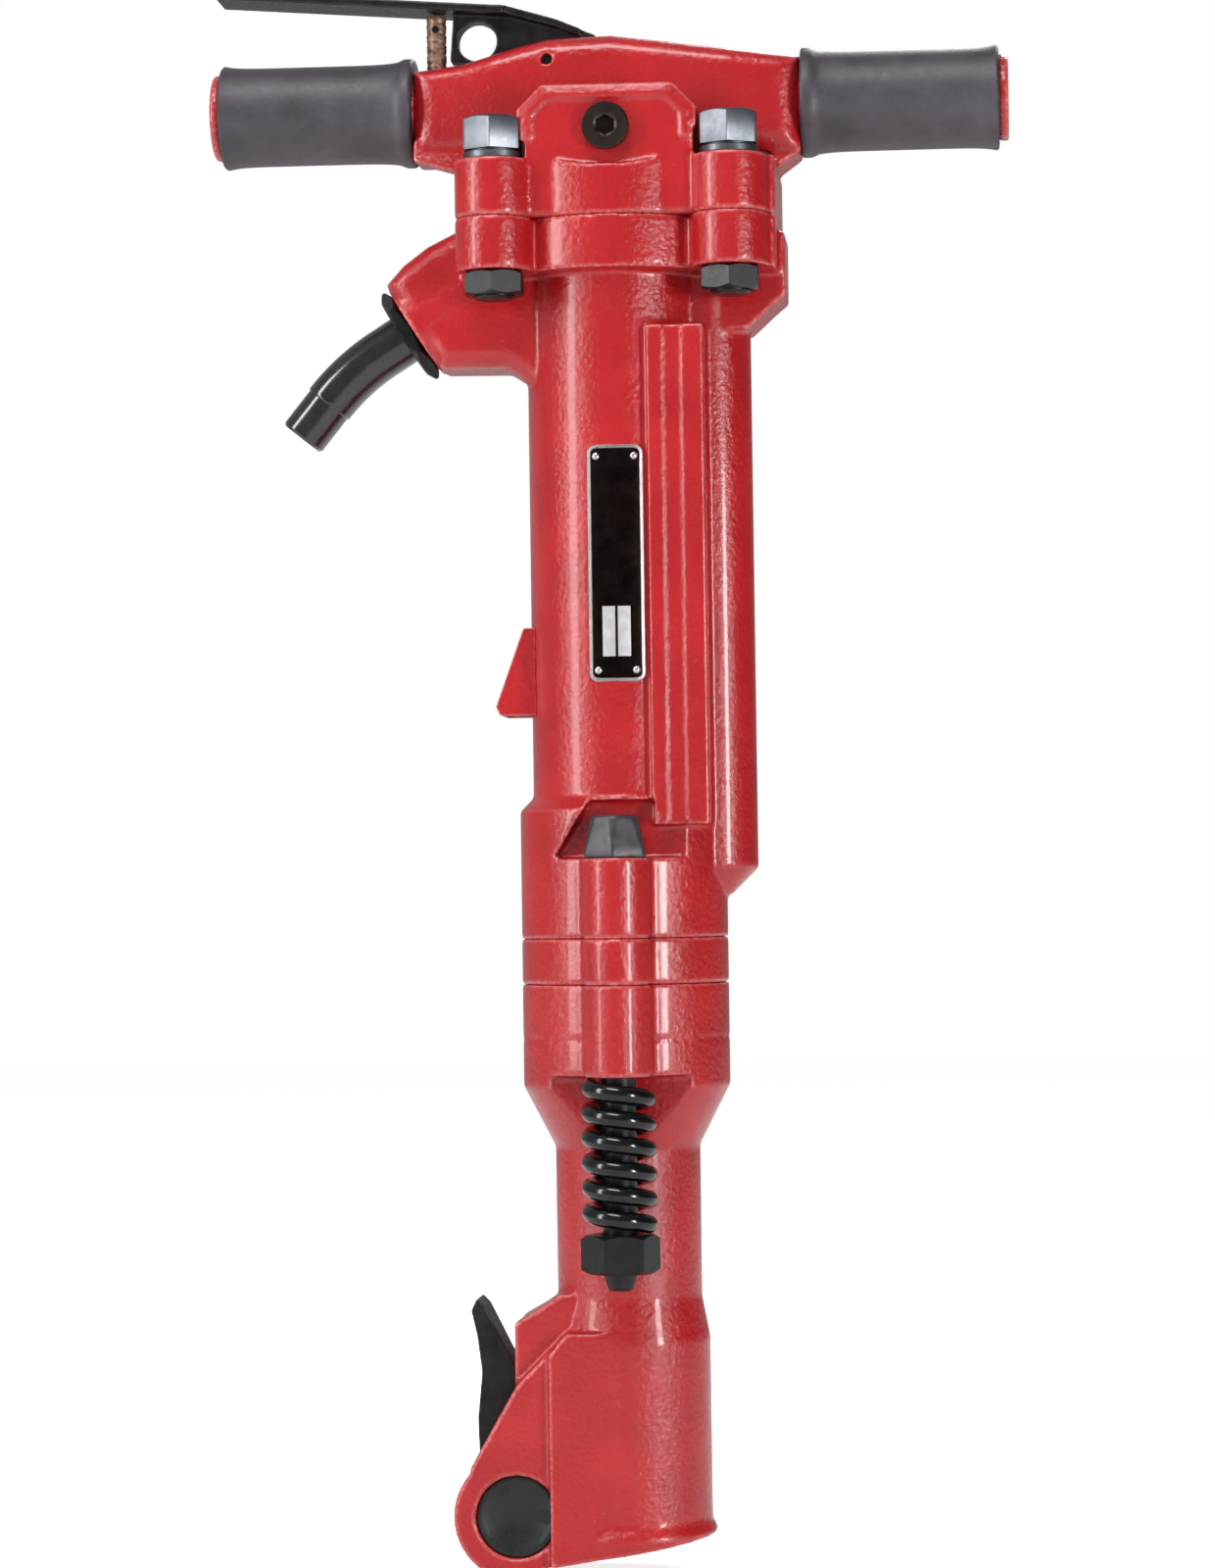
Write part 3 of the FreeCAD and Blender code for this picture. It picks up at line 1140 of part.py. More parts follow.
def make_backhead():
    """The backhead casting: flange, centre pad, handle beam and handle bar."""
    flange = flange_block("BackheadFlange", "cylinder_top + seat_gap", "backhead_flange - seat_gap")
    beam = slab(
        "HandleBeam", "handle_depth_half * 2",
        ("-casting_left", "handle_height - handle_end_height"),
        ("casting_right", "handle_height - handle_end_height"),
        ("casting_right", "handle_height + handle_end_height"),
        ("handle_crown_half + crown_reach",
         "handle_height + handle_end_height + crown_rise - crown_right_drop"),
        ("handle_crown_half", "handle_top - crown_drop - crown_right_drop"), ("0", "handle_top"),
        ("-handle_crown_half", "handle_top - crown_drop"),
        ("-handle_crown_half - crown_reach", "handle_height + handle_end_height + crown_rise"),
        ("-casting_left", "handle_height + handle_end_height"),
    )
    soft_beam = softened("HandleBeamSoft", beam, "handle_edge",
                         lambda e: abs(abs(e.CenterOfMass.y) - size("handle_depth_half")) < size("fit_gap"))
    pad = slab(
        "CentrePad", "pad_front * 2",
        ("-pad_half_width", "cylinder_top + seat_gap"), ("pad_half_width", "cylinder_top + seat_gap"),
        ("pad_half_width", "backhead_seat + pad_rise - pad_chamfer"),
        ("pad_half_width - pad_chamfer", "backhead_seat + pad_rise"),
        ("-pad_half_width + pad_chamfer", "backhead_seat + pad_rise"),
        ("-pad_half_width", "backhead_seat + pad_rise - pad_chamfer"),
    )
    soft_pad = softened("CentrePadSoft", pad, "pad_edge",
                        lambda e: abs(abs(e.CenterOfMass.y) - size("pad_front")) < size("fit_gap"))
    bar = rod("HandleBar", "handle_bar_radius", "handle_left + handle_right", "-handle_left", "0",
              "handle_height", "x")
    knobs = [
        rod("HandleKnobLeft", "handle_knob_radius", "handle_knob_length", "-handle_left", "0",
            "handle_height", "x"),
        rod("HandleKnobRight", "handle_knob_radius", "handle_knob_length",
            "handle_right - handle_knob_length", "0", "handle_height", "x"),
    ]
    gusset = slab(
        "HandleGusset", "gusset_half * 2",
        ("flange_right - overrun", "backhead_seat - gusset_drop"),
        ("flange_right", "backhead_seat - gusset_drop"),
        ("casting_right", "handle_height - handle_end_height"), ("casting_right", "handle_height"),
        ("flange_right - overrun", "handle_height"),
    )
    bulk = joined("BackheadBulk", flange, soft_beam, soft_pad, gusset, bar, *knobs)
    slot_y0, slot_y1 = "-lever_half_width - moving_gap", "lever_half_width + moving_gap"
    cuts = [
        block("LeverSlot", "-lever_pivot_x - slot_left_reach", "-lever_pivot_x + slot_right_reach",
              slot_y0, slot_y1, "lever_pivot_height - lever_boss_radius - overrun / 2",
              "handle_top + overrun"),
        rod("LeverPinHole", "lever_pin_radius + fit_gap", "handle_depth_half * 2 + overrun * 2",
            "-lever_pivot_x", "-handle_depth_half - overrun", "lever_pivot_height", "y"),
        block("TriggerPocket", "-push_rod_x - trigger_pocket_half_width", "-lever_pivot_x",
              "-trigger_pocket_half_width", "trigger_pocket_half_width", "pocket_floor",
              "handle_top + overrun"),
        rod("PushRodGuide", "push_rod_radius + fit_gap", "handle_end_height * 2", "-push_rod_x", "0",
            "throttle_seat_base"),
        rod("ValveBore", "valve_bore_radius",
            "throttle_seat_base + throttle_seat_length - valve_bore_base + overrun", "-push_rod_x", "0",
            "valve_bore_base - overrun"),
        rod("SupplyPassage", "passage_radius", "poppet_base - cylinder_top", "-passage_x", "0",
            "cylinder_top"),
        rod("SupplyCross", "cross_passage_radius", "push_rod_x - passage_x", "-push_rod_x", "0",
            "poppet_base - passage_radius", "x"),
        rod("OilThread", "oil_thread_radius + fit_gap", "oil_thread_length + overrun", "0",
            "-pad_front - overrun", "oil_plug_height", "y"),
        rod("OilChamber", "oil_chamber_radius", "oil_chamber_depth", "0", "-pad_front", "oil_plug_height",
            "y"),
    ]
    cuts += four_corners("HeadBoltHole", lambda n, x, y: rod(
        n, "bolt_hole_radius", "backhead_flange + overrun * 2", x, y, "cylinder_top - overrun"))
    cuts += four_corners("BoltSpot", lambda n, x, y: rod(
        n, "nut_cup_radius", "handle_end_height * 2", x, y, "backhead_seat"))
    piece("backhead", less("Backhead", bulk, *cuts))


def make_grips():
    """Two rubber grips, each with an inner flange and a flared outer end."""
    for label, side, sign, along in (("left_grip", "left", "-", "-x"), ("right_grip", "right", "", "x")):
        length = f"handle_{side} - handle_knob_length - casting_{side} - seat_gap * 2"
        name = side.capitalize() + "Grip"
        sleeve = turned(
            name,
            ("handle_bar_radius + fit_gap", "0"), ("grip_flange_radius - grip_edge", "0"),
            ("grip_flange_radius", "grip_edge"), ("grip_flange_radius", "grip_flange_width - grip_edge"),
            ("grip_radius + grip_flare / 2", "grip_flange_width + grip_root_short"),
            ("grip_radius", "grip_flange_width + grip_root_long"),
            ("grip_radius", f"{length} - grip_flare_width * 2"),
            ("grip_radius + grip_flare", f"{length} - grip_flare_width / 2"),
            ("grip_radius + grip_flare - grip_mouth_edge", length), ("handle_bar_radius + fit_gap", length),
        )
        sleeve.Placement = FreeCAD.Placement(V(), TURNS[along])
        place(sleeve, f"{sign}(casting_{side} + seat_gap)", "0", "handle_height")
        piece(label, sleeve)


def make_oil_plug():
    """The oil plug with its hexagon recess, and the seal under its head."""
    face = "-pad_front - oil_seal_thickness - seat_gap * 2"
    head = rod("OilPlugHead", "oil_plug_radius", "oil_plug_head", "0", face, "oil_plug_height", "-y")
    thread = rod("OilPlugThread", "oil_thread_radius", "oil_thread_length", "0", face, "oil_plug_height",
                 "y")
    recess = hexagon("OilPlugSocket", "oil_socket_across", "oil_socket_depth", "0",
                     f"{face} - oil_plug_head - overrun", "oil_plug_height", "y", 0)
    piece("oil_plug", less("OilPlug", joined("OilPlugBulk", head, thread), recess))
    ring = rod("OilSealDisc", "oil_plug_radius - oil_seal_inset", "oil_seal_thickness", "0",
               "-pad_front - seat_gap", "oil_plug_height", "-y")
    hole = rod("OilSealHole", "oil_thread_radius + seat_gap", "oil_seal_thickness + overrun * 2", "0",
               "-pad_front + overrun", "oil_plug_height", "-y")
    piece("oil_plug_seal", less("OilPlugSeal", ring, hole))


def make_throttle():
    """The throttle: lever, pin, push rod with its poppet valve, seat, spring and plug."""
    px, pz = "-lever_pivot_x", "lever_pivot_height"
    rod_side = f"{px} - rod_reach + push_rod_radius"
    blade = slab(
        "LeverBlade", "blade_half_width * 2",
        (f"{px} - lever_length", f"{pz} + blade_tip_rise"),
        (f"{px} - lever_length", f"{pz} + blade_tip_rise + blade_tip_thickness"),
        (f"{px} - blade_root_reach", f"{pz} + blade_root_rise + blade_root_thickness"),
        (f"{px} - blade_root_reach", f"{pz} + blade_root_rise"),
    )
    web = slab(
        "LeverWeb", "lever_half_width * 2",
        (f"{rod_side} + leg_top_gap", f"{pz} + blade_root_rise + blade_root_thickness / 2"),
        (f"{rod_side} + leg_bottom_gap", f"{pz} + leg_bottom_rise"),
        (f"{rod_side} + leg_bottom_gap + leg_heel", f"{pz} + leg_bottom_rise"),
        (f"{px} - lever_boss_radius", f"{pz} - lever_heel_drop"),
        (px, f"{pz} - lever_boss_radius + seat_gap"),
        (f"{px} + lever_boss_radius - seat_gap", pz),
        (f"{px} + lever_tail_reach", f"{pz} + lever_tail_low"),
        (f"{px} + lever_tail_reach", f"{pz} + lever_tail_high"),
        (f"{px} + lever_brow_reach", f"{pz} + lever_brow_rise"),
        (f"{px} - blade_root_reach", f"{pz} + blade_root_rise + blade_root_thickness"),
    )
    boss = rod("LeverBoss", "lever_boss_radius", "lever_half_width * 2", px, "-lever_half_width", pz, "y")
    nose = rod("LeverNose", "lever_nose_radius", "lever_half_width * 2", f"{px} - rod_reach",
               "-lever_half_width", f"{pz} + lever_nose_rise + lever_nose_radius", "y")
    eye = rod("LeverEye", "lever_eye_radius", "blade_half_width * 2", f"{px} - lever_eye_reach",
              "-blade_half_width", f"{pz} + lever_eye_rise", "y")
    pin_hole = rod("LeverHole", "lever_pin_radius + fit_gap", "lever_half_width * 4", px,
                   "-lever_half_width * 2", pz, "y")
    lever = joined("LeverBulk", blade, web, boss, nose)
    piece("throttle_lever", less("ThrottleLever", lever, eye, pin_hole))
    piece("lever_pin", rod("LeverPin", "lever_pin_radius", "handle_depth_half * 2 - handle_edge / 4", px,
                           "-handle_depth_half + handle_edge / 8", pz, "y"))
    x = "-push_rod_x"
    stem = turned(
        "PushRod",
        ("0", "pocket_floor - trigger_pocket_depth"),
        ("push_rod_radius", "pocket_floor - trigger_pocket_depth"),
        ("push_rod_radius", "push_rod_top - push_rod_edge"),
        ("push_rod_radius - push_rod_edge", "push_rod_top"), ("0", "push_rod_top"),
    )
    place(stem, x)
    piece("push_rod", stem)
    piece("throttle_valve", joined(
        "ThrottleValve",
        rod("PoppetHead", "poppet_radius", "poppet_height", x, "0", "poppet_base"),
        rod("PoppetStem", "poppet_stem_radius",
            "pocket_floor - trigger_pocket_depth - poppet_base - seat_gap", x, "0", "poppet_base")))
    piece("throttle_seat", less(
        "ThrottleSeat",
        rod("ThrottleSeatRing", "valve_bore_radius - fit_gap", "throttle_seat_length", x, "0",
            "throttle_seat_base"),
        rod("ThrottleSeatHole", "push_rod_radius + moving_gap", "throttle_seat_length + overrun * 2", x, "0",
            "throttle_seat_base - overrun")))
    plug = rod("ThrottlePlugBlank", "valve_bore_radius - fit_gap", "throttle_plug_length - seat_gap", x, "0",
               "valve_bore_base")
    recess = hexagon("ThrottlePlugSocket", "throttle_plug_across", "throttle_plug_length / 2 + overrun", x,
                     "0", "valve_bore_base - overrun")
    piece("throttle_plug", less("ThrottlePlug", plug, recess))
    piece("throttle_spring", sleeve("ThrottleSpring", "throttle_spring_radius", "throttle_spring_wire",
                                    "throttle_spring_length - seat_gap", x, "0",
                                    "valve_bore_base + throttle_plug_length"))


def lobe_point(angle):
    """A point on the rim of the latch's lobe, at an angle below the level of its pin."""
    return (f"-retainer_x + latch_lobe_radius * cos(({angle}) * 1 deg)",
            f"retainer_height - latch_lobe_radius * sin(({angle}) * 1 deg)")


def make_retainer():
    """The latch that holds the tool's collar, its pin, end plugs, detent plunger and spring."""
    x, z = "-retainer_x", "retainer_height"
    hub = rod("LatchHub", "latch_hub_radius", "latch_half_width * 2", x, "-latch_half_width", z, "y")
    lobe = slab(
        "LatchLobe", "latch_half_width * 2",
        (x, z), lobe_point("lobe_end_angle"), lobe_point("(lobe_end_angle * 2 + lobe_start_angle) / 3"),
        lobe_point("(lobe_end_angle + lobe_start_angle * 2) / 3"), lobe_point("lobe_start_angle"),
    )
    blade = slab(
        "LatchBlade", "latch_half_width * 2",
        (f"{x} + latch_root_inset", z), (f"{x} - moving_gap * 2", f"{z} + latch_low_rise"),
        (f"{x} - moving_gap * 2", f"{z} + latch_waist_rise"),
        (f"{x} - latch_neck_reach", f"{z} + latch_neck_rise"),
        (f"{x} - latch_brow_reach", f"{z} + latch_brow_rise"),
        (f"{x} - latch_tip_reach", f"{z} + latch_tip_rise"),
        (f"{x} - latch_nose_reach", f"{z} + latch_nose_rise"),
        (f"{x} - latch_nape_reach", f"{z} + latch_nape_rise"),
        (f"{x} - latch_waist_reach", f"{z} + latch_waist_rise"),
        (f"{x} - latch_belly_reach", f"{z} + latch_belly_rise"),
        (f"{x} - latch_heel_reach", f"{z} + latch_heel_rise"), (f"{x} - latch_foot_reach", z),
    )
    pin_hole = rod("LatchPinHole", "retainer_pin_radius + fit_gap", "cheek_half_width * 2", x,
                   "-cheek_half_width", z, "y")
    piece("retainer_latch", less("RetainerLatch", joined("LatchBulk", hub, lobe, blade), pin_hole))
    inside = "plug_thickness + plug_recess + seat_gap"
    piece("retainer_pin", rod("RetainerPin", "retainer_pin_radius",
                              f"cheek_half_width * 2 - ({inside}) * 2", x,
                              f"-cheek_half_width + {inside}", z, "y"))
    piece("retainer_plugs", group("RetainerPlugs", [
        half_disc("RetainerPlugFront", "plug_radius", "plug_thickness", "-cheek_half_width + plug_recess",
                  "seat_gap"),
        half_disc("RetainerPlugRear", "plug_radius", "plug_thickness",
                  "cheek_half_width - plug_recess - plug_thickness", "seat_gap")]))
    base = "retainer_height + latch_hub_radius + moving_gap"
    px = "-retainer_x + plunger_offset"
    piece("retainer_plunger", rod("RetainerPlunger", "plunger_radius", "plunger_length", px, "0", base))
    piece("retainer_spring", sleeve("RetainerSpring", "plunger_radius - retainer_spring_wire",
                                    "retainer_spring_wire", "retainer_spring_length", px, "0",
                                    f"{base} + plunger_length + seat_gap"))


def make_nameplate():
    """A bare plate bent round the barrel, held by four drive rivets."""
    ring = less("PlateRing",
                rod("PlateOuter", "barrel_radius + seat_gap + plate_thickness", "plate_height",
                    z="plate_low"),
                rod("PlateInner", "barrel_radius + seat_gap", "plate_height + overrun",
                    z="plate_low - seat_gap"),
                block("PlateRear", "-barrel_radius * 2", "barrel_radius * 2", "0", "barrel_radius * 2",
                      "cylinder_base", "cylinder_top"))
    left, right = "plate_centre_x - plate_width / 2", "plate_centre_x + plate_width / 2"
    low, high = "plate_low", "plate_low + plate_height"
    window = slab("PlateWindow", "barrel_radius * 4", (left, low), (right, low), (right, high), (left, high))
    soft = softened("PlateWindowSoft", window, "plate_corner",
                    lambda e: abs(e.CenterOfMass.y) < size("fit_gap"))
    spots = [(f"plate_centre_x {sx} (plate_width / 2 - rivet_inset_x)", z)
             for sx in ("-", "+")
             for z in ("plate_low + rivet_inset_z", "plate_low + plate_height - rivet_inset_z")]
    piece("nameplate", shared("Nameplate", ring, soft))
    rivets = []
    for i, (x, z) in enumerate(spots):
        y = "-barrel_radius + rivet_sink - plate_thickness"
        rivets.append(shared(f"Rivet{i}",
                             rod(f"RivetPost{i}", "rivet_radius", "rivet_depth * 2", x, y, z, "-y"),
                             less(f"RivetSkin{i}",
                                  rod(f"RivetOuter{i}", "barrel_radius + plate_thickness + rivet_depth / 2",
                                      "plate_height * 2", z="plate_low - overrun"),
                                  rod(f"RivetInner{i}", "barrel_radius + plate_thickness + seat_gap * 2",
                                      "plate_height * 2", z="plate_low - overrun"))))
    piece("nameplate_rivets", group("NameplateRivets", rivets))


make_fronthead()
make_chuck()
make_anvil()
make_cylinder()
make_exhaust()
make_piston()
make_valve_gear()
make_inlet()
make_fasteners()
make_backhead()
make_grips()
make_oil_plug()
make_throttle()
make_retainer()
make_nameplate()
doc.recompute()

for item in doc.Objects:
    if "Invalid" in item.State or "Error" in item.State:
        raise RuntimeError(f"{item.Name} did not build: {item.State}")
for item in PIECES:
    if item.Shape.isNull() or not item.Shape.isValid():
        raise RuntimeError(f"{item.Label} has no valid shape")

os.makedirs("parts", exist_ok=True)
for item in PIECES:
    item.Shape.exportStep(f"parts/{item.Label}.step")
print(f"{len(PIECES)} pieces written")
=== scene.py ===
"""Looks for a pneumatic paving breaker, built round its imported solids. Metres, +Z up, front towards -Y."""

import json
import math

import bmesh
import bpy
from mathutils import Matrix, Quaternion, Vector


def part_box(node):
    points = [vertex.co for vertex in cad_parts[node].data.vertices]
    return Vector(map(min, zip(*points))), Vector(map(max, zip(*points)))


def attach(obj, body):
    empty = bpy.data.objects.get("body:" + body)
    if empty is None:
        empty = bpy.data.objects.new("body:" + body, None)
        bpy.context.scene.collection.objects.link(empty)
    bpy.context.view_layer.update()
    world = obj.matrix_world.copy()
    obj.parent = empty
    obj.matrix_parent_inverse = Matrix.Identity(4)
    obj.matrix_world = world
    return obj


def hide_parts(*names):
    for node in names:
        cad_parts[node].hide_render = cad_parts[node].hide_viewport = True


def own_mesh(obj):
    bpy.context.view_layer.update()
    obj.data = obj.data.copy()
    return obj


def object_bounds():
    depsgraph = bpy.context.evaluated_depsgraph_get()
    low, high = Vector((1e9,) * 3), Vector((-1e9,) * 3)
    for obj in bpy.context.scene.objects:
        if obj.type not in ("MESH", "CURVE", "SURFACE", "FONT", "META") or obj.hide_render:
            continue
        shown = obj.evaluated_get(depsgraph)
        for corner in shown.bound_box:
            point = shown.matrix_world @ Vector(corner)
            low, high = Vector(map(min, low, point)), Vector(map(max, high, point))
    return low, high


bl_info = {
    "name": "Paving breaker looks",
    "version": (1, 0, 0),
    "blender": (4, 5, 0),
    "location": "3D View > Sidebar > Breaker",
    "description": "Dresses the solids of a pneumatic paving breaker",
    "category": "Object",
}

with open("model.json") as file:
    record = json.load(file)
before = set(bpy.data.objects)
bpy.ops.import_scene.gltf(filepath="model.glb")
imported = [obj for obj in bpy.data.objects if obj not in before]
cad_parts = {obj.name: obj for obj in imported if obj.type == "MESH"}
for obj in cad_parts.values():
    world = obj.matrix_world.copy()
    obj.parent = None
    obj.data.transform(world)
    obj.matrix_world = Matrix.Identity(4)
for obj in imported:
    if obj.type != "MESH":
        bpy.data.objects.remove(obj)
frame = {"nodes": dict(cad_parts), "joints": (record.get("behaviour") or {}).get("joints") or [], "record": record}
CAD_BOX = [list(corner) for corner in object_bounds()]
MM = 0.001


def low(node):
    """The lowest corner of a solid."""
    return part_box(node)[0]


def high(node):
    """The highest corner of a solid."""
    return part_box(node)[1]


def middle(node):
    """The middle of a solid's box."""
    return (low(node) + high(node)) / 2


def rod_offset():
    """How far each side rod stands from the machine's axis."""
    bottom, top = low("side_rod_springs"), high("side_rod_springs")
    return top.y - (top.x - bottom.x) / 2


def joint(name):
    """A joint of the record, by its name."""
    return next(j for j in frame["joints"] if j["name"] == name)


# Colours and nodes

def linear(hex_colour):
    """A hex colour such as C4262E as the linear RGBA that the shaders take."""
    parts = [int(hex_colour[i:i + 2], 16) / 255 for i in (0, 2, 4)]
    return [c / 12.92 if c <= 0.04045 else ((c + 0.055) / 1.055) ** 2.4 for c in parts] + [1.0]


def per_mm(size):
    """The scale of a pattern on Object coordinates whose features are that many millimetres apart."""
    return 1 / (size * MM)


def put(tree, kind, sockets=(), **settings):
    """Add a node with its own settings, and a value or a link for each input socket named."""
    node = tree.nodes.new(kind)
    for name, value in settings.items():
        setattr(node, name, value)
    for name, value in dict(sockets).items():
        if isinstance(value, bpy.types.NodeSocket):
            tree.links.new(value, node.inputs[name])
        else:
            node.inputs[name].default_value = value
    return node


def blank_material(name):
    """A material with an empty tree, and its Object coordinates."""
    made = bpy.data.materials.new(name)
    made.use_nodes = True
    made.node_tree.nodes.clear()
    where = put(made.node_tree, "ShaderNodeTexCoord").outputs["Object"]
    return made, made.node_tree, where


def close_material(tree, sockets, bumps):
    """The shader and its output. Each bump is a height, its strength and its depth in millimetres."""
    normal = None
    for height, strength, depth in bumps:
        bump = put(tree, "ShaderNodeBump", {"Height": height, "Strength": strength, "Distance": depth * MM})
        if normal is not None:
            tree.links.new(normal, bump.inputs["Normal"])
        normal = bump.outputs["Normal"]
    shader = put(tree, "ShaderNodeBsdfPrincipled", sockets)
    if normal is not None:
        tree.links.new(normal, shader.inputs["Normal"])
    put(tree, "ShaderNodeOutputMaterial", {"Surface": shader.outputs["BSDF"]})


def noise(tree, where, size, detail=3.0, rough=0.5):
    """Noise with features of a size in millimetres."""
    made = put(tree, "ShaderNodeTexNoise",
               {"Vector": where, "Scale": per_mm(size), "Detail": detail, "Roughness": rough})
    return made.outputs["Fac"]


def spread(tree, value, from_low, from_high, to_low, to_high):
    """A value carried from one range to another, and held inside it."""
    made = put(tree, "ShaderNodeMapRange", {"Value": value, "From Min": from_low, "From Max": from_high,
                                            "To Min": to_low, "To Max": to_high})
    return made.outputs["Result"]


def mixed(tree, share, one, other, blend="MIX"):
    """Two colours mixed."""
    made = put(tree, "ShaderNodeMix", data_type="RGBA", blend_type=blend)
    for index, value in ((0, share), (6, one), (7, other)):
        if isinstance(value, bpy.types.NodeSocket):
            tree.links.new(value, made.inputs[index])
        else:
            made.inputs[index].default_value = value
    return made.outputs[2]


def ranged(tree, pattern, least, most):
    """A pattern's usual range carried to another one, such as a roughness."""
    return spread(tree, pattern, 0.3, 0.7, least, most)


def clouded(tree, pattern, one, other):
    """Two hex colours mixed in the clouds of a pattern."""
    return mixed(tree, ranged(tree, pattern, 0.0, 1.0), linear(one), linear(other))


def cells(tree, where, size):
    """Cells of a size in millimetres, as the distance from their middles."""
    made = put(tree, "ShaderNodeTexVoronoi", {"Vector": where, "Scale": per_mm(size)})
    return made.outputs["Distance"]


def red_enamel(name="red_enamel_sprayed_over_sand_cast", relief=1.0):
    """Glossy red enamel sprayed over sand-cast iron: grainy skin shows through; edges are paler, partly where the
    enamel wears off and partly a painted highlight, and hollows carry painted shade.
    """
    made, tree, where = blank_material(name)
    look = bpy.context.scene.breaker_finish
    edge = put(tree, "ShaderNodeNewGeometry").outputs["Pointiness"]
    tone = clouded(tree, noise(tree, where, look.cloud_size, 2.0), look.red_deep, look.red_bright)
    # Paler convex edges, partly enamel rubbed off the edges and partly a painted highlight where edges catch the
    # light.
    edge_wear_and_highlight_mask = spread(tree, edge, 0.515, 0.575, 0.0, look.edge_share)
    breakup = spread(tree, noise(tree, where, 1.8, 4.0, 0.7), 0.40, 0.58, 0.25, 1.0)
    edge_wear_and_highlight = put(tree, "ShaderNodeMath", {0: edge_wear_and_highlight_mask, 1: breakup}, operation="MULTIPLY").outputs[0]
    # Painted shade: hollows and creases, where pointiness is low, are mixed towards the dark red.
    shade = mixed(tree, spread(tree, edge, 0.47, 0.40, 0.0, 0.55), tone, linear(look.red_crease_shade))
    colour = mixed(tree, edge_wear_and_highlight, shade, linear(look.edge_red_wear_and_highlight))
    grain = noise(tree, where, look.grain_size, 5.0, 0.62)
    peel = noise(tree, where, look.peel_size, 1.0)
    sand = cells(tree, where, look.grain_size)
    gloss = ranged(tree, noise(tree, where, 9.0, 3.0), 0.17, 0.28)
    close_material(tree, {"Base Color": colour, "Roughness": gloss, "Coat Weight": 0.30,
                          "Coat Roughness": 0.10, "IOR": 1.5},
                   [(grain, 0.9, 0.42 * relief), (sand, 0.6, 0.22 * relief), (peel, 0.5, 0.16)])
    return made


def metal(name, colours, rough, grain_size, bump, depth=0.05, brushed=None):
    """A bare or plated metal: two tones, a roughness range and a grain, drawn out if brushed."""
    made, tree, where = blank_material(name)
    spot = where
    if brushed:
        spot = put(tree, "ShaderNodeMapping", {"Vector": where, "Scale": brushed}).outputs["Vector"]
    grain = noise(tree, spot, grain_size, 4.0, 0.6)
    cloud_size = grain_size * 9
    colour = clouded(tree, noise(tree, where, cloud_size, 2.0), *colours)
    close_material(tree, {"Base Color": colour, "Metallic": 1.0, "Roughness": ranged(tree, grain, *rough)},
                   [(grain, bump, depth)])
    return made


def dark_metal(name, colours, rough, grain_size, bump, depth=0.08, metallic=0.6, rub=0.8, coat=0.0):
    """Oxide or phosphate on steel: nearly black, dull with oil sheen, edges rubbed brighter."""
    made, tree, where = blank_material(name)
    edge = put(tree, "ShaderNodeNewGeometry").outputs["Pointiness"]
    base = clouded(tree, noise(tree, where, 7.0, 3.0), *colours[:2])
    rubbed = spread(tree, edge, 0.52, 0.62, 0.0, rub)
    grain = noise(tree, where, grain_size, 5.0, 0.6)
    close_material(tree, {"Base Color": mixed(tree, rubbed, base, linear(colours[2])), "Metallic": metallic,
                          "Coat Weight": coat, "Coat Roughness": 0.14,
                          "Roughness": ranged(tree, grain, *rough)},
                   [(grain, bump, depth)])
    return made


def grip_rubber():
    """Moulded rubber, dark grey with a slight purple cast, dusty in its fine texture."""
    made, tree, where = blank_material("moulded_grip_rubber")
    look = bpy.context.scene.breaker_finish
    dust = noise(tree, where, 2.2, 5.0, 0.7)
    tone = clouded(tree, noise(tree, where, 22.0, 4.0, 0.6), look.rubber_dark, look.rubber_light)
    colour = mixed(tree, spread(tree, dust, 0.55, 0.8, 0.0, 0.35), tone, linear("5A525B"))
    pebble = cells(tree, where, 1.1)
    close_material(tree, {"Base Color": colour, "Roughness": ranged(tree, dust, 0.42, 0.58),
                          "Specular IOR Level": 0.6},
                   [(pebble, 0.30, 0.12), (dust, 0.25, 0.1)])
    return made


def plain_rubber(name, colours, rough):
    """Plain moulded rubber or nitrile, nearly black, with a faint skin."""
    made, tree, where = blank_material(name)
    skin = noise(tree, where, 1.4, 4.0)
    colour = clouded(tree, noise(tree, where, 9.0), *colours)
    close_material(tree, {"Base Color": colour, "Roughness": ranged(tree, skin, *rough)},
                   [(skin, 0.3, 0.08)])
    return made


def rough_bronze():
    """Cast bronze left rough: brown, blotched, dull in the pits and brassy on the crests."""
    made, tree, where = blank_material("sand_cast_bronze_aged")
    lump = noise(tree, where, 2.6, 4.0, 0.65)
    base = mixed(tree, spread(tree, lump, 0.35, 0.65, 0.0, 1.0), linear("4A332B"), linear("A98672"))
    close_material(tree, {"Base Color": base, "Metallic": 0.55, "Roughness": ranged(tree, lump, 0.62, 0.38)},
                   [(lump, 0.8, 0.5)])
    return made


FINISHES = {}


def finish(name):
    """A finish by its short name, made when it is first asked for."""
    if name not in FINISHES:
        FINISHES[name] = FINISH_MAKERS[name]()
    return FINISHES[name]


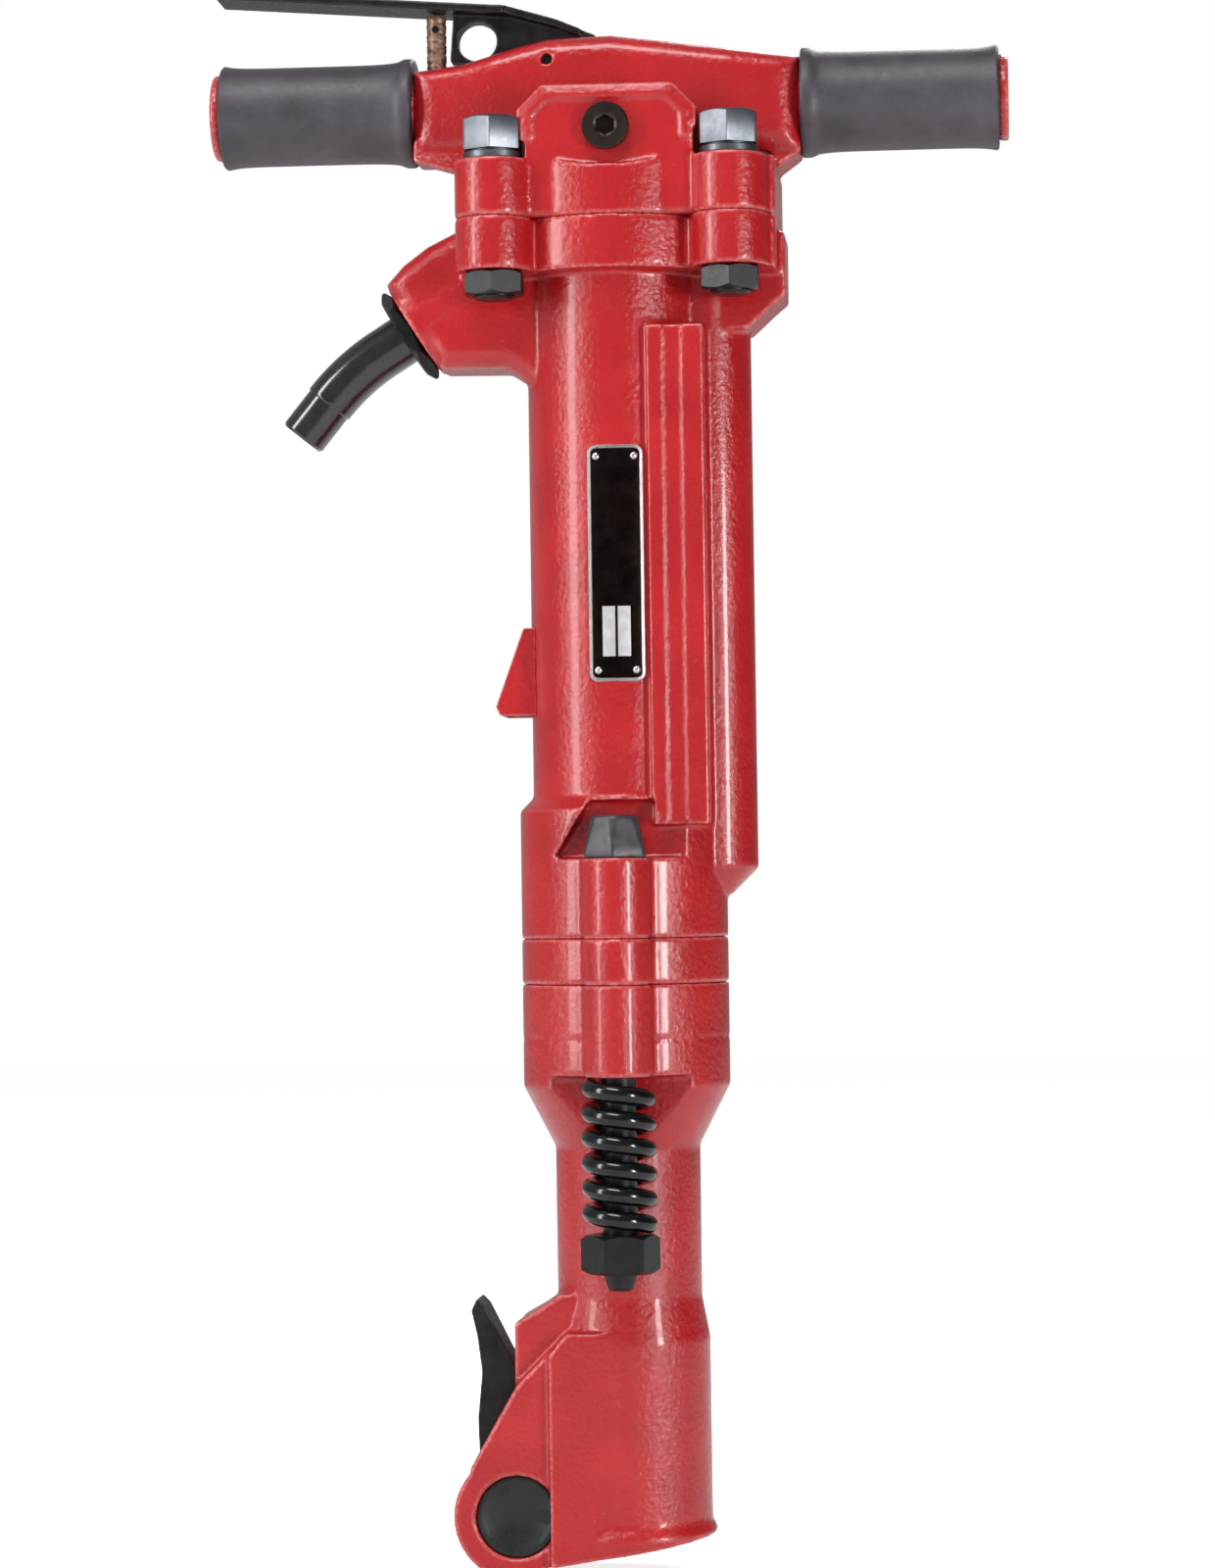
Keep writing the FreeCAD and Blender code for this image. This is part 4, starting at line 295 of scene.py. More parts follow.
FINISH_MAKERS = {
    "red_enamel": red_enamel,
    "red_enamel_coarse": lambda: red_enamel("red_enamel_sprayed_over_coarse_sand_cast", 1.35),
    "grip_rubber": grip_rubber,
    "bronze": rough_bronze,
    "seal_rubber": lambda: plain_rubber("nitrile_seal_moulded", ("0C0C0C", "181818"), (0.45, 0.6)),
    "plug_rubber": lambda: plain_rubber("hard_rubber_plug_moulded", ("0F1312", "1B201E"), (0.30, 0.46)),
    "zinc": lambda: metal("zinc_plate_bright_on_steel", ("7C7F84", "63676D"), (0.34, 0.46), 1.2, 0.15),
    "black_oxide": lambda: dark_metal("black_oxide_on_forged_steel", ("1A181A", "2C292C", "6C696E"),
                                      (0.30, 0.48), 1.8, 0.4),
    "nipple_black": lambda: dark_metal("black_oxide_on_drawn_steel", ("121113", "232124", "77747A"),
                                       (0.16, 0.26), 2.5, 0.05, metallic=0.25, rub=0.0, coat=1.0),
    "black_phosphate": lambda: dark_metal("manganese_phosphate_on_spring_steel",
                                          ("090B0B", "141818", "3C4242"), (0.14, 0.26), 1.2, 0.2,
                                          metallic=0.5, rub=0.0, coat=0.5),
    "nut_black": lambda: dark_metal("black_oxide_on_cut_nut_steel", ("0B0C0C", "171A19", "555B58"),
                                    (0.26, 0.42), 1.4, 0.3, metallic=0.3, rub=0.0),
    "rod_grey": lambda: dark_metal("phosphate_on_forged_rod_head", ("3A383A", "504D50", "8B898C"),
                                   (0.34, 0.5), 1.6, 0.35, metallic=0.5, rub=0.0),
    "socket_brown": lambda: dark_metal("oiled_plug_steel_browned", ("1E1512", "30231C", "6A5040"),
                                       (0.28, 0.45), 1.6, 0.3, metallic=0.4, rub=0.0),
    "hard_steel": lambda: metal("ground_hardened_steel", ("B9BBBE", "9A9DA1"), (0.14, 0.26), 0.8, 0.2,
                                brushed=(1.0, 1.0, 0.1)),
    "turned_steel": lambda: metal("turned_steel_oiled", ("A3A4A6", "83858A"), (0.2, 0.36), 0.6, 0.3,
                                  brushed=(0.1, 0.1, 1.0)),
    "plate_dark": lambda: metal("anodised_aluminium_plate_black", ("1B1412", "2A211E"), (0.25, 0.4),
                                0.7, 0.15),
    "plate_rim": lambda: metal("aluminium_plate_bare_rim", ("E6DADA", "CDBEC0"), (0.25, 0.42), 0.8, 0.2),
    "plate_field": lambda: metal("aluminium_plate_bare_field", ("F1F0F2", "DAD9DC"), (0.4, 0.55),
                                 0.5, 0.1),
    "rivet": lambda: metal("drawn_aluminium_rivet", ("DAD5D6", "BDB6B8"), (0.22, 0.38), 0.5, 0.2),
    "mesh_steel": lambda: metal("woven_steel_strainer", ("A9ABAE", "84878B"), (0.3, 0.5), 0.5, 0.5),
}


# Meshes

def as_object(name, mesh):
    """Put a mesh in the scene as an object at the origin."""
    made = bpy.data.objects.new(name, mesh)
    bpy.context.scene.collection.objects.link(made)
    return made


def from_lists(name, points, faces):
    """An object from points and faces, merged and with its faces pointing outwards."""
    mesh = bpy.data.meshes.new(name)
    mesh.from_pydata([tuple(p) for p in points], [], faces)
    shape = bmesh.new()
    shape.from_mesh(mesh)
    bmesh.ops.remove_doubles(shape, verts=shape.verts, dist=0.002 * MM)
    bmesh.ops.recalc_face_normals(shape, faces=shape.faces)
    shape.to_mesh(mesh)
    shape.free()
    return as_object(name, mesh)


def smooth(obj, angle=32.0):
    """Smooth shading, with edges kept crisp past an angle."""
    obj.data.polygons.foreach_set("use_smooth", [True] * len(obj.data.polygons))
    obj.data.set_sharp_from_angle(angle=math.radians(angle))
    return obj


def settle(obj):
    """Turn an object and its modifiers into one plain mesh at the origin."""
    bpy.context.view_layer.update()
    graph = bpy.context.evaluated_depsgraph_get()
    mesh = bpy.data.meshes.new_from_object(obj.evaluated_get(graph), depsgraph=graph)
    mesh.transform(obj.matrix_world)
    old = obj.data
    obj.modifiers.clear()
    obj.data = mesh
    obj.matrix_world = Matrix.Identity(4)
    mesh.name = obj.name
    if old.users == 0 and isinstance(old, bpy.types.Mesh):
        bpy.data.meshes.remove(old)
    return obj


def finished(obj, body, look, *nodes, angle=None):
    """Give a piece its finish and body, and hide the solids that it stands for."""
    obj.data.materials.clear()
    obj.data.materials.append(finish(look))
    if angle:
        smooth(obj, angle)
    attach(obj, body)
    if nodes:
        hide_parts(*nodes)
    return obj


def rings_mesh(name, rings, closed=False, caps=True):
    """Quads between rings of equal length. Closed joins the last ring to the first."""
    count = len(rings[0])
    points = [p for ring in rings for p in ring]
    faces = []
    steps = len(rings) if closed else len(rings) - 1
    for r in range(steps):
        a, b = r * count, (r + 1) % len(rings) * count
        faces += [(a + i, a + (i + 1) % count, b + (i + 1) % count, b + i) for i in range(count)]
    if caps and not closed:
        faces += [tuple(range(count)), tuple(range(len(points) - count, len(points)))]
    return from_lists(name, points, faces)


def circle_points(radius, z, segments=72):
    """A ring round +Z."""
    angles = [math.tau * i / segments for i in range(segments)]
    return [(radius * math.cos(angle), radius * math.sin(angle), z) for angle in angles]


def turned(name, profile, segments=96, closed=False, to=None):
    """A turned piece: radius and height in metres, spun round +Z and put in place by a matrix."""
    place = to or Matrix.Identity(4)
    rings = [[place @ Vector(point) for point in circle_points(radius, z, segments)]
             for radius, z in profile]
    return rings_mesh(name, rings, closed, caps=not closed)


def softened(obj, width, segments=3, angle=30.0):
    """Round an object's edges with a bevel of a width in millimetres."""
    bevel = obj.modifiers.new("edges", "BEVEL")
    bevel.width = width * MM
    bevel.segments = segments
    bevel.limit_method = "ANGLE"
    bevel.angle_limit = math.radians(angle)
    return settle(obj)


def hexagon_points(across, z, segments=72, turn=0.0, round_to=None):
    """A ring that follows a hexagon across its flats, or a circle where that is smaller."""
    points = []
    for i in range(segments):
        angle = math.tau * i / segments
        off = (angle - turn + math.pi / 6) % (math.pi / 3) - math.pi / 6
        radius = across / 2 / math.cos(off)
        if round_to:
            radius = min(radius, round_to)
        points.append((radius * math.cos(angle), radius * math.sin(angle), z))
    return points


def hexagon_rings(across, bottom, top, turn=0.0, segments=72, both=True):
    """Rings of a hexagon with its corners chamfered at 30 degrees, as a bolt head or nut has."""
    circle = across / 2 * 0.95
    slope = math.tan(math.radians(30))
    flat = hexagon_points(across, 0.0, segments, turn)
    drops = [(math.hypot(x, y) - circle) * slope for x, y, z in flat]
    rim = [(x / math.hypot(x, y) * circle, y / math.hypot(x, y) * circle) for x, y, z in flat]
    upper = [(x, y, top - drop) for (x, y, z), drop in zip(flat, drops)]
    rings = [upper, [(x, y, top) for x, y in rim]]
    if both:
        lower = [(x, y, bottom + drop) for (x, y, z), drop in zip(flat, drops)]
        return [[(x, y, bottom) for x, y in rim], lower] + rings
    return [[(x, y, bottom) for x, y, z in flat]] + rings


def prism(name, outline, near, far):
    """A closed bar along Y: an outline of X and Z between two depths."""
    return rings_mesh(name, [[(x, y, z) for x, z in outline] for y in (near, far)])


def along_y(x, y, z, way=-1):
    """A place at a point, for a turned piece whose own +Z then runs towards +Y, or towards -Y."""
    return Matrix.Translation((x, y, z)) @ Matrix.Rotation(way * math.pi / 2, 4, "X")


def cross_pin(name, x, z, radius, near, far, edge, segments):
    """A round pin along Y between two depths, with its ends chamfered."""
    span = far - near
    profile = [(0.0, 0.0), (radius - edge, 0.0), (radius, edge), (radius, span - edge),
               (radius - edge, span), (0.0, span)]
    return turned(name, profile, segments, to=along_y(x, near, z))


def bored_nut(name, across, stem, gap, bottom, top, turn=0.0):
    """A hexagon nut round a stem, with the mouths of its bore countersunk."""
    sink = 0.6 * MM
    mouth = stem + 0.8 * MM
    rings = [circle_points(stem + gap, bottom + sink), circle_points(mouth, bottom)]
    rings += hexagon_rings(across, bottom, top, turn)
    rings += [circle_points(mouth, top), circle_points(stem + gap, top - sink)]
    return rings_mesh(name, rings, closed=True)


def remade(node, name, voxel, passes, most=180000, added=(), cutters=()):
    """A cast or forged skin: a merged copy of a solid, remeshed and relaxed so that its edges are rounded.

    Added shapes are fused in by the remesh, and cutters are taken off before it.
    """
    shape = bmesh.new()
    shape.from_mesh(frame["nodes"][node].data)
    bmesh.ops.remove_doubles(shape, verts=shape.verts, dist=0.01 * MM)
    shape.verts.index_update()
    mesh = bpy.data.meshes.new(name)
    faces = [[v.index for v in f.verts] for f in shape.faces]
    mesh.from_pydata([v.co.copy() for v in shape.verts], [], faces)
    shape.free()
    obj = as_object(name, mesh)
    for cutter in cutters:
        cut = obj.modifiers.new("cut", "BOOLEAN")
        cut.operation = "DIFFERENCE"
        cut.solver = "EXACT"
        cut.object = cutter
        settle(obj)
        bpy.data.objects.remove(cutter)
    if added:
        obj = joined(name, obj, *added)
    skin = obj.modifiers.new("skin", "REMESH")
    skin.mode = "VOXEL"
    skin.voxel_size = voxel * MM
    skin.use_smooth_shade = True
    relax = obj.modifiers.new("relax", "SMOOTH")
    relax.factor = 0.5
    relax.iterations = passes
    settle(obj)
    triangles = sum(len(p.vertices) - 2 for p in obj.data.polygons)
    if triangles > most:
        fewer = obj.modifiers.new("fewer", "DECIMATE")
        fewer.ratio = most / triangles
        settle(obj)
    obj.data.polygons.foreach_set("use_smooth", [True] * len(obj.data.polygons))
    return obj


# Geometry node trees

def node_tree(name, inputs):
    """A geometry node tree with named inputs, its input node and a function that closes it."""
    tree = bpy.data.node_groups.new(name, "GeometryNodeTree")
    tree.interface.new_socket("Geometry", in_out="INPUT", socket_type="NodeSocketGeometry")
    for label, kind, value in inputs:
        socket = tree.interface.new_socket(label, in_out="INPUT", socket_type=kind)
        if value is not None:
            socket.default_value = value
    tree.interface.new_socket("Geometry", in_out="OUTPUT", socket_type="NodeSocketGeometry")
    return tree, put(tree, "NodeGroupInput")


def close_tree(tree, geometry, material):
    """End a tree in Realize Instances and Set Material."""
    real = put(tree, "GeometryNodeRealizeInstances", {"Geometry": geometry})
    dressed = put(tree, "GeometryNodeSetMaterial",
                  {"Geometry": real.outputs["Geometry"], "Material": material})
    put(tree, "NodeGroupOutput", {"Geometry": dressed.outputs["Geometry"]})


def run_tree(obj, tree, values):
    """Run a tree on an object with its named values, and keep the result as a plain mesh."""
    modifier = obj.modifiers.new("tree", "NODES")
    modifier.node_group = tree
    for item in tree.interface.items_tree:
        if item.item_type == "SOCKET" and item.in_out == "INPUT" and item.name in values:
            modifier[item.identifier] = values[item.name]
    return settle(obj)


def coil_tree():
    """A round wire wound into a coil round +Z."""
    tree, start = node_tree("wound_coil", [
        ("Turns", "NodeSocketFloat", 5.0), ("Radius", "NodeSocketFloat", 0.01),
        ("Rise", "NodeSocketFloat", 0.05), ("Wire", "NodeSocketFloat", 0.002),
        ("Steps", "NodeSocketInt", 48), ("Around", "NodeSocketInt", 20),
        ("Finish", "NodeSocketMaterial", None)])
    spiral = put(tree, "GeometryNodeCurveSpiral", {
        "Resolution": start.outputs["Steps"], "Rotations": start.outputs["Turns"],
        "Start Radius": start.outputs["Radius"], "End Radius": start.outputs["Radius"],
        "Height": start.outputs["Rise"], "Reverse": False})
    wire = put(tree, "GeometryNodeCurvePrimitiveCircle", {
        "Resolution": start.outputs["Around"], "Radius": start.outputs["Wire"]})
    tube = put(tree, "GeometryNodeCurveToMesh", {
        "Curve": spiral.outputs["Curve"], "Profile Curve": wire.outputs["Curve"], "Fill Caps": True})
    shaded = put(tree, "GeometryNodeSetShadeSmooth", {"Geometry": tube.outputs["Mesh"]})
    close_tree(tree, shaded.outputs["Geometry"], start.outputs["Finish"])
    return tree


def repeat_tree():
    """One piece repeated at every point of the carrier, turned as the carrier's normals are."""
    tree, start = node_tree("repeated_at_points", [
        ("Piece", "NodeSocketObject", None), ("Finish", "NodeSocketMaterial", None)])
    piece = put(tree, "GeometryNodeObjectInfo", {"Object": start.outputs["Piece"], "As Instance": True})
    facing = put(tree, "GeometryNodeInputNamedAttribute", {"Name": "facing"}, data_type="FLOAT_VECTOR")
    turn = put(tree, "FunctionNodeAlignRotationToVector", {"Vector": facing.outputs["Attribute"]}, axis="Z")
    copies = put(tree, "GeometryNodeInstanceOnPoints", {
        "Points": start.outputs["Geometry"], "Instance": piece.outputs["Geometry"],
        "Rotation": turn.outputs["Rotation"]})
    close_tree(tree, copies.outputs["Instances"], start.outputs["Finish"])
    return tree


def repeated(name, piece, spots, look):
    """Copies of a piece at spots, each a place and the way that its +Z faces. The piece itself goes."""
    mesh = bpy.data.meshes.new(name)
    mesh.from_pydata([tuple(p) for p, way in spots], [], [])
    facing = mesh.attributes.new("facing", "FLOAT_VECTOR", "POINT")
    facing.data.foreach_set("vector", [c for p, way in spots for c in way])
    carrier = as_object(name, mesh)
    run_tree(carrier, repeat_tree(), {"Piece": piece, "Finish": finish(look)})
    bpy.data.objects.remove(piece)
    return carrier


def joined(name, *objs):
    """Several finished meshes as one piece."""
    shape = bmesh.new()
    for obj in objs:
        shape.from_mesh(obj.data)
    mesh = bpy.data.meshes.new(name)
    shape.to_mesh(mesh)
    shape.free()
    for obj in objs:
        bpy.data.objects.remove(obj)
    return as_object(name, mesh)


# Sizes and colours that a user would change

class BreakerFinish(bpy.types.PropertyGroup):
    """Colours and grain of the enamel and the rubber."""
    red_deep: bpy.props.StringProperty(name="Deep red", description="Enamel in shade", default="A3141A")
    red_bright: bpy.props.StringProperty(name="Bright red", description="Enamel in light", default="B21B1F")
    # Painted shade in hollows and creases.
    red_crease_shade: bpy.props.StringProperty(name="Dark red", description="Enamel in corners", default="6E0C11")
    # Paler edges: enamel wear and a painted highlight.
    edge_red_wear_and_highlight: bpy.props.StringProperty(name="Edge red", description="Thin enamel on edges", default="EE8F8D")
    edge_share: bpy.props.FloatProperty(
        name="Edge share", description="How far edges pale", default=0.85, min=0.0, max=1.0, subtype="FACTOR")
    cloud_size: bpy.props.FloatProperty(
        name="Cloud", description="Colour cloud, mm", default=26.0, min=1.0)
    grain_size: bpy.props.FloatProperty(
        name="Grain", description="Sand grain of the casting, mm", default=2.4, min=0.2)
    peel_size: bpy.props.FloatProperty(
        name="Peel", description="Orange peel of the enamel, mm", default=5.0, min=0.2)
    rubber_dark: bpy.props.StringProperty(
        name="Dark rubber", description="Grip rubber in shade", default="2F2B31")
    rubber_light: bpy.props.StringProperty(
        name="Light rubber", description="Grip rubber in light", default="4A434C")


class BreakerSizes(bpy.types.PropertyGroup):
    """Sizes of the pieces that are made here. Lengths are in millimetres."""
    casting_voxel: bpy.props.FloatProperty(
        name="Casting skin", description="Mesh size of the castings, mm", default=1.15, min=0.4)
    forging_voxel: bpy.props.FloatProperty(
        name="Forging skin", description="Mesh size of lever and latch, mm", default=0.6, min=0.2)
    relax_passes: bpy.props.IntProperty(
        name="Relax", description="Smoothing passes on the skins", default=3, min=0)
    spring_wire: bpy.props.FloatProperty(
        name="Spring wire", description="Wire diameter of a side spring, mm", default=8.0, min=1.0)
    spring_turns: bpy.props.FloatProperty(
        name="Spring turns", description="Turns of a side spring", default=5.5, min=1.0)
    bolt_across: bpy.props.FloatProperty(
        name="Bolt head", description="Across flats, mm", default=24.6, min=4.0)
    rod_nut_across: bpy.props.FloatProperty(
        name="Side nut", description="Across flats, mm", default=30.0, min=4.0)
    plate_rim: bpy.props.FloatProperty(
        name="Plate rim", description="Bare rim of the plate, mm", default=1.5, min=0.1)


class BreakerStage(bpy.types.PropertyGroup):
    """Place, aim, roll and view of the camera."""
    distance: bpy.props.FloatProperty(
        name="Distance", description="Camera to axis", default=2.0, unit="LENGTH")
    azimuth: bpy.props.FloatProperty(
        name="Azimuth", description="Camera turned towards +X", default=math.radians(4.5), subtype="ANGLE")
    eye_height: bpy.props.FloatProperty(
        name="Eye height", description="Camera height", default=0.30, unit="LENGTH")
    aim_height: bpy.props.FloatProperty(
        name="Aim height", description="Height that the camera aims at", default=0.35, unit="LENGTH")
    roll: bpy.props.FloatProperty(
        name="Roll", description="Camera roll", default=math.radians(-0.8), subtype="ANGLE")
    view_height: bpy.props.FloatProperty(
        name="View height", description="Height seen at the axis", default=0.70, unit="LENGTH")
    shift: bpy.props.FloatProperty(
        name="Shift", description="Sideways shift of the picture", default=-0.01)


# Pieces

class BREAKER_OT_castings(bpy.types.Operator):
    """Backhead, cylinder, spacer ring, front head and exhaust hood in enamelled cast iron"""
    bl_idname = "breaker.castings"
    bl_label = "Castings"

    def execute(self, context):
        sizes = context.scene.breaker_sizes
        coarse, fine = sizes.casting_voxel, sizes.forging_voxel
        for node, body, look, voxel, adders, cutters in (
                ("backhead", "machine", "red_enamel", coarse,
                 (self.pad_crown, self.pad_bead, self.grip_web), (self.pad_foot,)),
                ("cylinder", "machine", "red_enamel", coarse, (), ()),
                ("anvil_housing", "machine", "red_enamel", coarse, (), (self.anvil_room,)),
                ("fronthead", "front_head", "red_enamel_coarse", coarse, (), ()),
                ("exhaust_hood", "machine", "red_enamel", fine, (), ())):
            skin = remade(node, node + "_casting", voxel, sizes.relax_passes,
                          added=[add() for add in adders], cutters=[cut() for cut in cutters])
            if node == "backhead":
                self.taper_handle(skin)
            finished(skin, body, look, node)
        return {"FINISHED"}

    def pad_path(self, drop):
        """The outline of the oil plug's pad, over its top and down both sides by a drop."""
        half, corner = 39.5 * MM, 11.0 * MM
        top = middle("left_grip").z + 3.5 * MM
        return [(-half, top - drop), (-half, top - corner), (-half + corner, top), (half - corner, top),
                (half, top - corner), (half, top - drop)]

    def pad_crown(self):
        """The top of the oil plug's pad, a little above the handle's axis, clear of the plug."""
        front = high("oil_plug_seal").y
        path = self.pad_path(20 * MM)
        foot = path[0][1]
        clear = high("oil_plug").x + 4 * MM
        roof = high("oil_plug").z + 1 * MM
        outline = path + [(clear, foot), (clear, roof), (-clear, roof), (-clear, foot)]
        return prism("pad_crown", outline, front, front + 25 * MM)

    def pad_bead(self):
        """The bevelled frame along the top and sides of the oil plug's pad."""
        front = high("oil_plug_seal").y
        path = self.pad_path(25 * MM)
        section = ((1.2, 2.0), (1.2, -0.1), (5.4, -1.4), (6.6, -1.4), (7.2, 2.0))
        rings = []
        for i, (x, z) in enumerate(path):
            before = Vector(path[i]) - Vector(path[i - 1]) if i else Vector(path[1]) - Vector(path[0])
            after = Vector(path[i + 1]) - Vector(path[i]) if i < len(path) - 1 else before
            inward = Vector((before.y, -before.x)).normalized() + Vector((after.y, -after.x)).normalized()
            inward = inward / inward.length_squared * 2
            rings.append([(x + inward.x * d * MM, front + y * MM, z + inward.y * d * MM) for d, y in section])
        return rings_mesh("pad_bead", rings)

    def pad_foot(self):
        """The curved step where the pad runs down into the flange."""
        front = high("oil_plug_seal").y
        flange_top = low("flange_washers").z
        radius, half = 84.0 * MM, 26.0 * MM
        centre = flange_top + math.sqrt(radius ** 2 - half ** 2)
        outline = []
        steps = 24
        for i in range(steps + 1):
            x = half * (2 * i / steps - 1)
            outline.append((x, centre - math.sqrt(radius ** 2 - x ** 2)))
        outline += [(half, flange_top + 6 * MM), (-half, flange_top + 6 * MM)]
        return prism("pad_foot", outline, front, front - 20 * MM)

    def anvil_room(self):
        """Room for the anvil's body at the top of its stroke, where the remesh rounds the corner."""
        radius = high("anvil").x
        body = [p.co for p in frame["nodes"]["anvil"].data.vertices
                if math.hypot(p.co.x, p.co.y) > radius - 0.1 * MM]
        shoulder = max(p.z for p in body) + joint("anvil_stroke")["range_m"][1]
        room = 0.8 * MM
        edge = 2.0 * MM
        below = low("anvil_housing").z - 5 * MM
        return turned("anvil_room", [
            (0.0, below), (radius + room, below), (radius + room, shoulder + room),
            (radius + room - edge, shoulder + room + edge), (0.0, shoulder + room + edge)])

    def grip_web(self):
        """The web under the handle, from the left grip down to the bolt's lug."""
        axis = middle("left_grip").z
        end = high("left_grip").x + 0.6 * MM
        corners = ((0, -15), (0, -24.6), (23, -31.5), (30, -31.5), (30, -15))
        outline = [(end + x * MM, axis + z * MM) for x, z in corners]
        return prism("grip_web", outline, -21 * MM, -10 * MM)

    def taper_handle(self, skin):
        """Lower and narrow the handle casting towards its ends, where it runs into the round bar."""
        axis = middle("left_grip").z
        ends = (high("left_grip").x, low("right_grip").x)
        top_shares = ((-89.5, 0.70), (-66, 0.74), (-55, 0.82), (-41, 0.93), (-28, 1.0), (0, 0.97),
                      (27, 0.945), (45, 0.90), (64, 0.85), (84.5, 0.80))
        for point in skin.data.vertices:
            x = point.co.x
            if not ends[0] < x < ends[1] or point.co.z < axis - 28 * MM:
                continue
            for (x0, share0), (x1, share1) in zip(top_shares, top_shares[1:]):
                if x0 * MM <= x <= x1 * MM:
                    along = (x - x0 * MM) / ((x1 - x0) * MM)
                    share = share0 + (share1 - share0) * along
            if point.co.z > axis:
                point.co.z = axis + (point.co.z - axis) * share
            out = max(0.0, min(1.0, (abs(x) - 52 * MM) / (30 * MM)))
            lift = max(0.0, min(1.0, (point.co.z - axis + 28 * MM) / (10 * MM)))
            point.co.y *= 1 - 0.14 * out * lift


class BREAKER_OT_lever(bpy.types.Operator):
    """Throttle lever with its pin, and the lumpy bronze push rod under it with a cross pin"""
    bl_idname = "breaker.lever"
    bl_label = "Throttle lever"

    def execute(self, context):
        sizes = context.scene.breaker_sizes
        lever = remade("throttle_lever", "throttle_lever_forging", sizes.forging_voxel, sizes.relax_passes,
                       added=[self.lip()])
        finished(lever, "lever", "black_oxide", "throttle_lever")
        bottom, top = low("push_rod"), high("push_rod")
        centre = middle("push_rod")
        radius = (top.x - bottom.x) / 2
        length = top.z - bottom.z
        steps = 60
        profile = [(0.0, 0.0), (radius * 0.94, 0.0)]
        for i in range(steps + 1):
            wave = 0.95 + 0.05 * math.sin(i * 1.3) * math.cos(i * 0.45)
            profile.append((radius * wave, length * (0.01 + 0.96 * i / steps)))
        profile += [(radius * 0.86, length), (0.0, length)]
        rod = turned("push_rod_bronze", profile, 48, to=Matrix.Translation((centre.x, 0.0, bottom.z)))
        finished(rod, "throttle_stem", "bronze", "push_rod", angle=40)
        reach = radius + 0.5 * MM
        rod_pin = cross_pin("push_rod_pin", centre.x, top.z - 6.5 * MM, 1.6 * MM, -reach, reach, 0.3 * MM, 24)
        finished(rod_pin, "throttle_stem", "nut_black", angle=40)
        sunk = 1.6 * MM
        spot, start, end = middle("lever_pin"), low("lever_pin"), high("lever_pin")
        pin = cross_pin("lever_roll_pin", spot.x, spot.z, (end.x - start.x) / 2, start.y + sunk, end.y - sunk,
                        0.4 * MM, 32)
        finished(pin, "machine", "nut_black", "lever_pin", angle=40)
        return {"FINISHED"}

    def lip(self):
        """The lip that runs on from the blade down the brow of the lever."""
        solid = frame["nodes"]["throttle_lever"]
        start, end = -50.0 * MM, -14.0 * MM
        deep, proud = 3.2 * MM, 0.3 * MM
        ceiling = high("throttle_lever").z + 5 * MM
        rings = []
        steps = 14
        for i in range(steps + 1):
            x = start + (end - start) * i / steps
            hit = solid.ray_cast(Vector((x, 0.0, ceiling)), Vector((0.0, 0.0, -1.0)))
            top = hit[1].z if hit[0] else ceiling - 5 * MM
            half = (12.0 - 6.0 * i / steps) * MM
            rings.append([(x, half, top - deep), (x, -half, top - deep), (x, -half, top + proud),
                          (x, half, top + proud)])
        return rings_mesh("lever_lip", rings)


class BREAKER_OT_latch(bpy.types.Operator):
    """Retainer latch, and the rubber plugs that close its pin's bore"""
    bl_idname = "breaker.latch"
    bl_label = "Retainer latch"

    def execute(self, context):
        sizes = context.scene.breaker_sizes
        latch = remade("retainer_latch", "retainer_latch_forging", sizes.forging_voxel, sizes.relax_passes)
        finished(latch, "latch", "black_oxide", "retainer_latch")
        bottom, top = low("retainer_plugs"), high("retainer_plugs")
        radius = (top.z - bottom.z) / 2
        pin = middle("retainer_pin")
        depth, edge, dish = 6.0 * MM, 1.2 * MM, 0.9 * MM
        crown = [(0.0, 0.0), (radius, 0.0), (radius, depth - edge),
                 (radius - 0.35 * MM, depth - 0.35 * MM), (radius - edge, depth), (radius * 0.86, depth),
                 (radius * 0.8, depth - dish), (0.0, depth - dish)]
        plugs = []
        for side, face in ((-1, bottom.y), (1, top.y)):
            plug = turned("plug", crown, 96, to=along_y(pin.x, face - side * depth, pin.z, -side))
            for point in plug.data.vertices:
                point.co.x = min(point.co.x, top.x)
            plugs.append(plug)
        both = joined("retainer_rubber_plugs", *plugs)
        finished(both, "front_head", "plug_rubber", "retainer_plugs", angle=40)
        return {"FINISHED"}


class BREAKER_OT_grips(bpy.types.Operator):
    """Two moulded rubber grips with a collar at the inner end and a flare at the outer end"""
    bl_idname = "breaker.grips"
    bl_label = "Grips"

    def execute(self, context):
        for node, side in (("left_grip", -1), ("right_grip", 1)):
            bottom, top = low(node), high(node)
            inner = top.x if side < 0 else bottom.x
            length = top.x - bottom.x
            collar = (top.z - bottom.z) / 2
            sleeve = 22.0 * MM
            bore = 17.1 * MM
            flare = 1.3 * MM
            steps = 40
            profile = [(bore, 0.0), (collar - 1.2 * MM, 0.0), (collar - 0.3 * MM, 0.4 * MM),
                       (collar, 1.4 * MM), (collar - 0.1 * MM, 4.4 * MM), (collar - 0.8 * MM, 6.2 * MM)]
            for i in range(steps + 1):
                along = i / steps
                root = (collar - 1.4 * MM - sleeve) * math.exp(-along * 14)
                lip = flare * math.exp(-(1 - along) * 16)
                profile.append((sleeve + root + lip, 7.5 * MM + (length - 8.7 * MM) * along))
            profile += [(sleeve + flare - 0.8 * MM, length - 0.2 * MM), (sleeve - 2 * MM, length),
                        (bore, length)]
            turn = Matrix.Rotation(math.pi / 2 * side, 4, "Y")
            place = Matrix.Translation((inner, 0.0, middle(node).z)) @ turn
            grip = turned(node + "_sleeve", profile, 128, closed=True, to=place)
            finished(grip, "machine", "grip_rubber", node, angle=50)
        return {"FINISHED"}


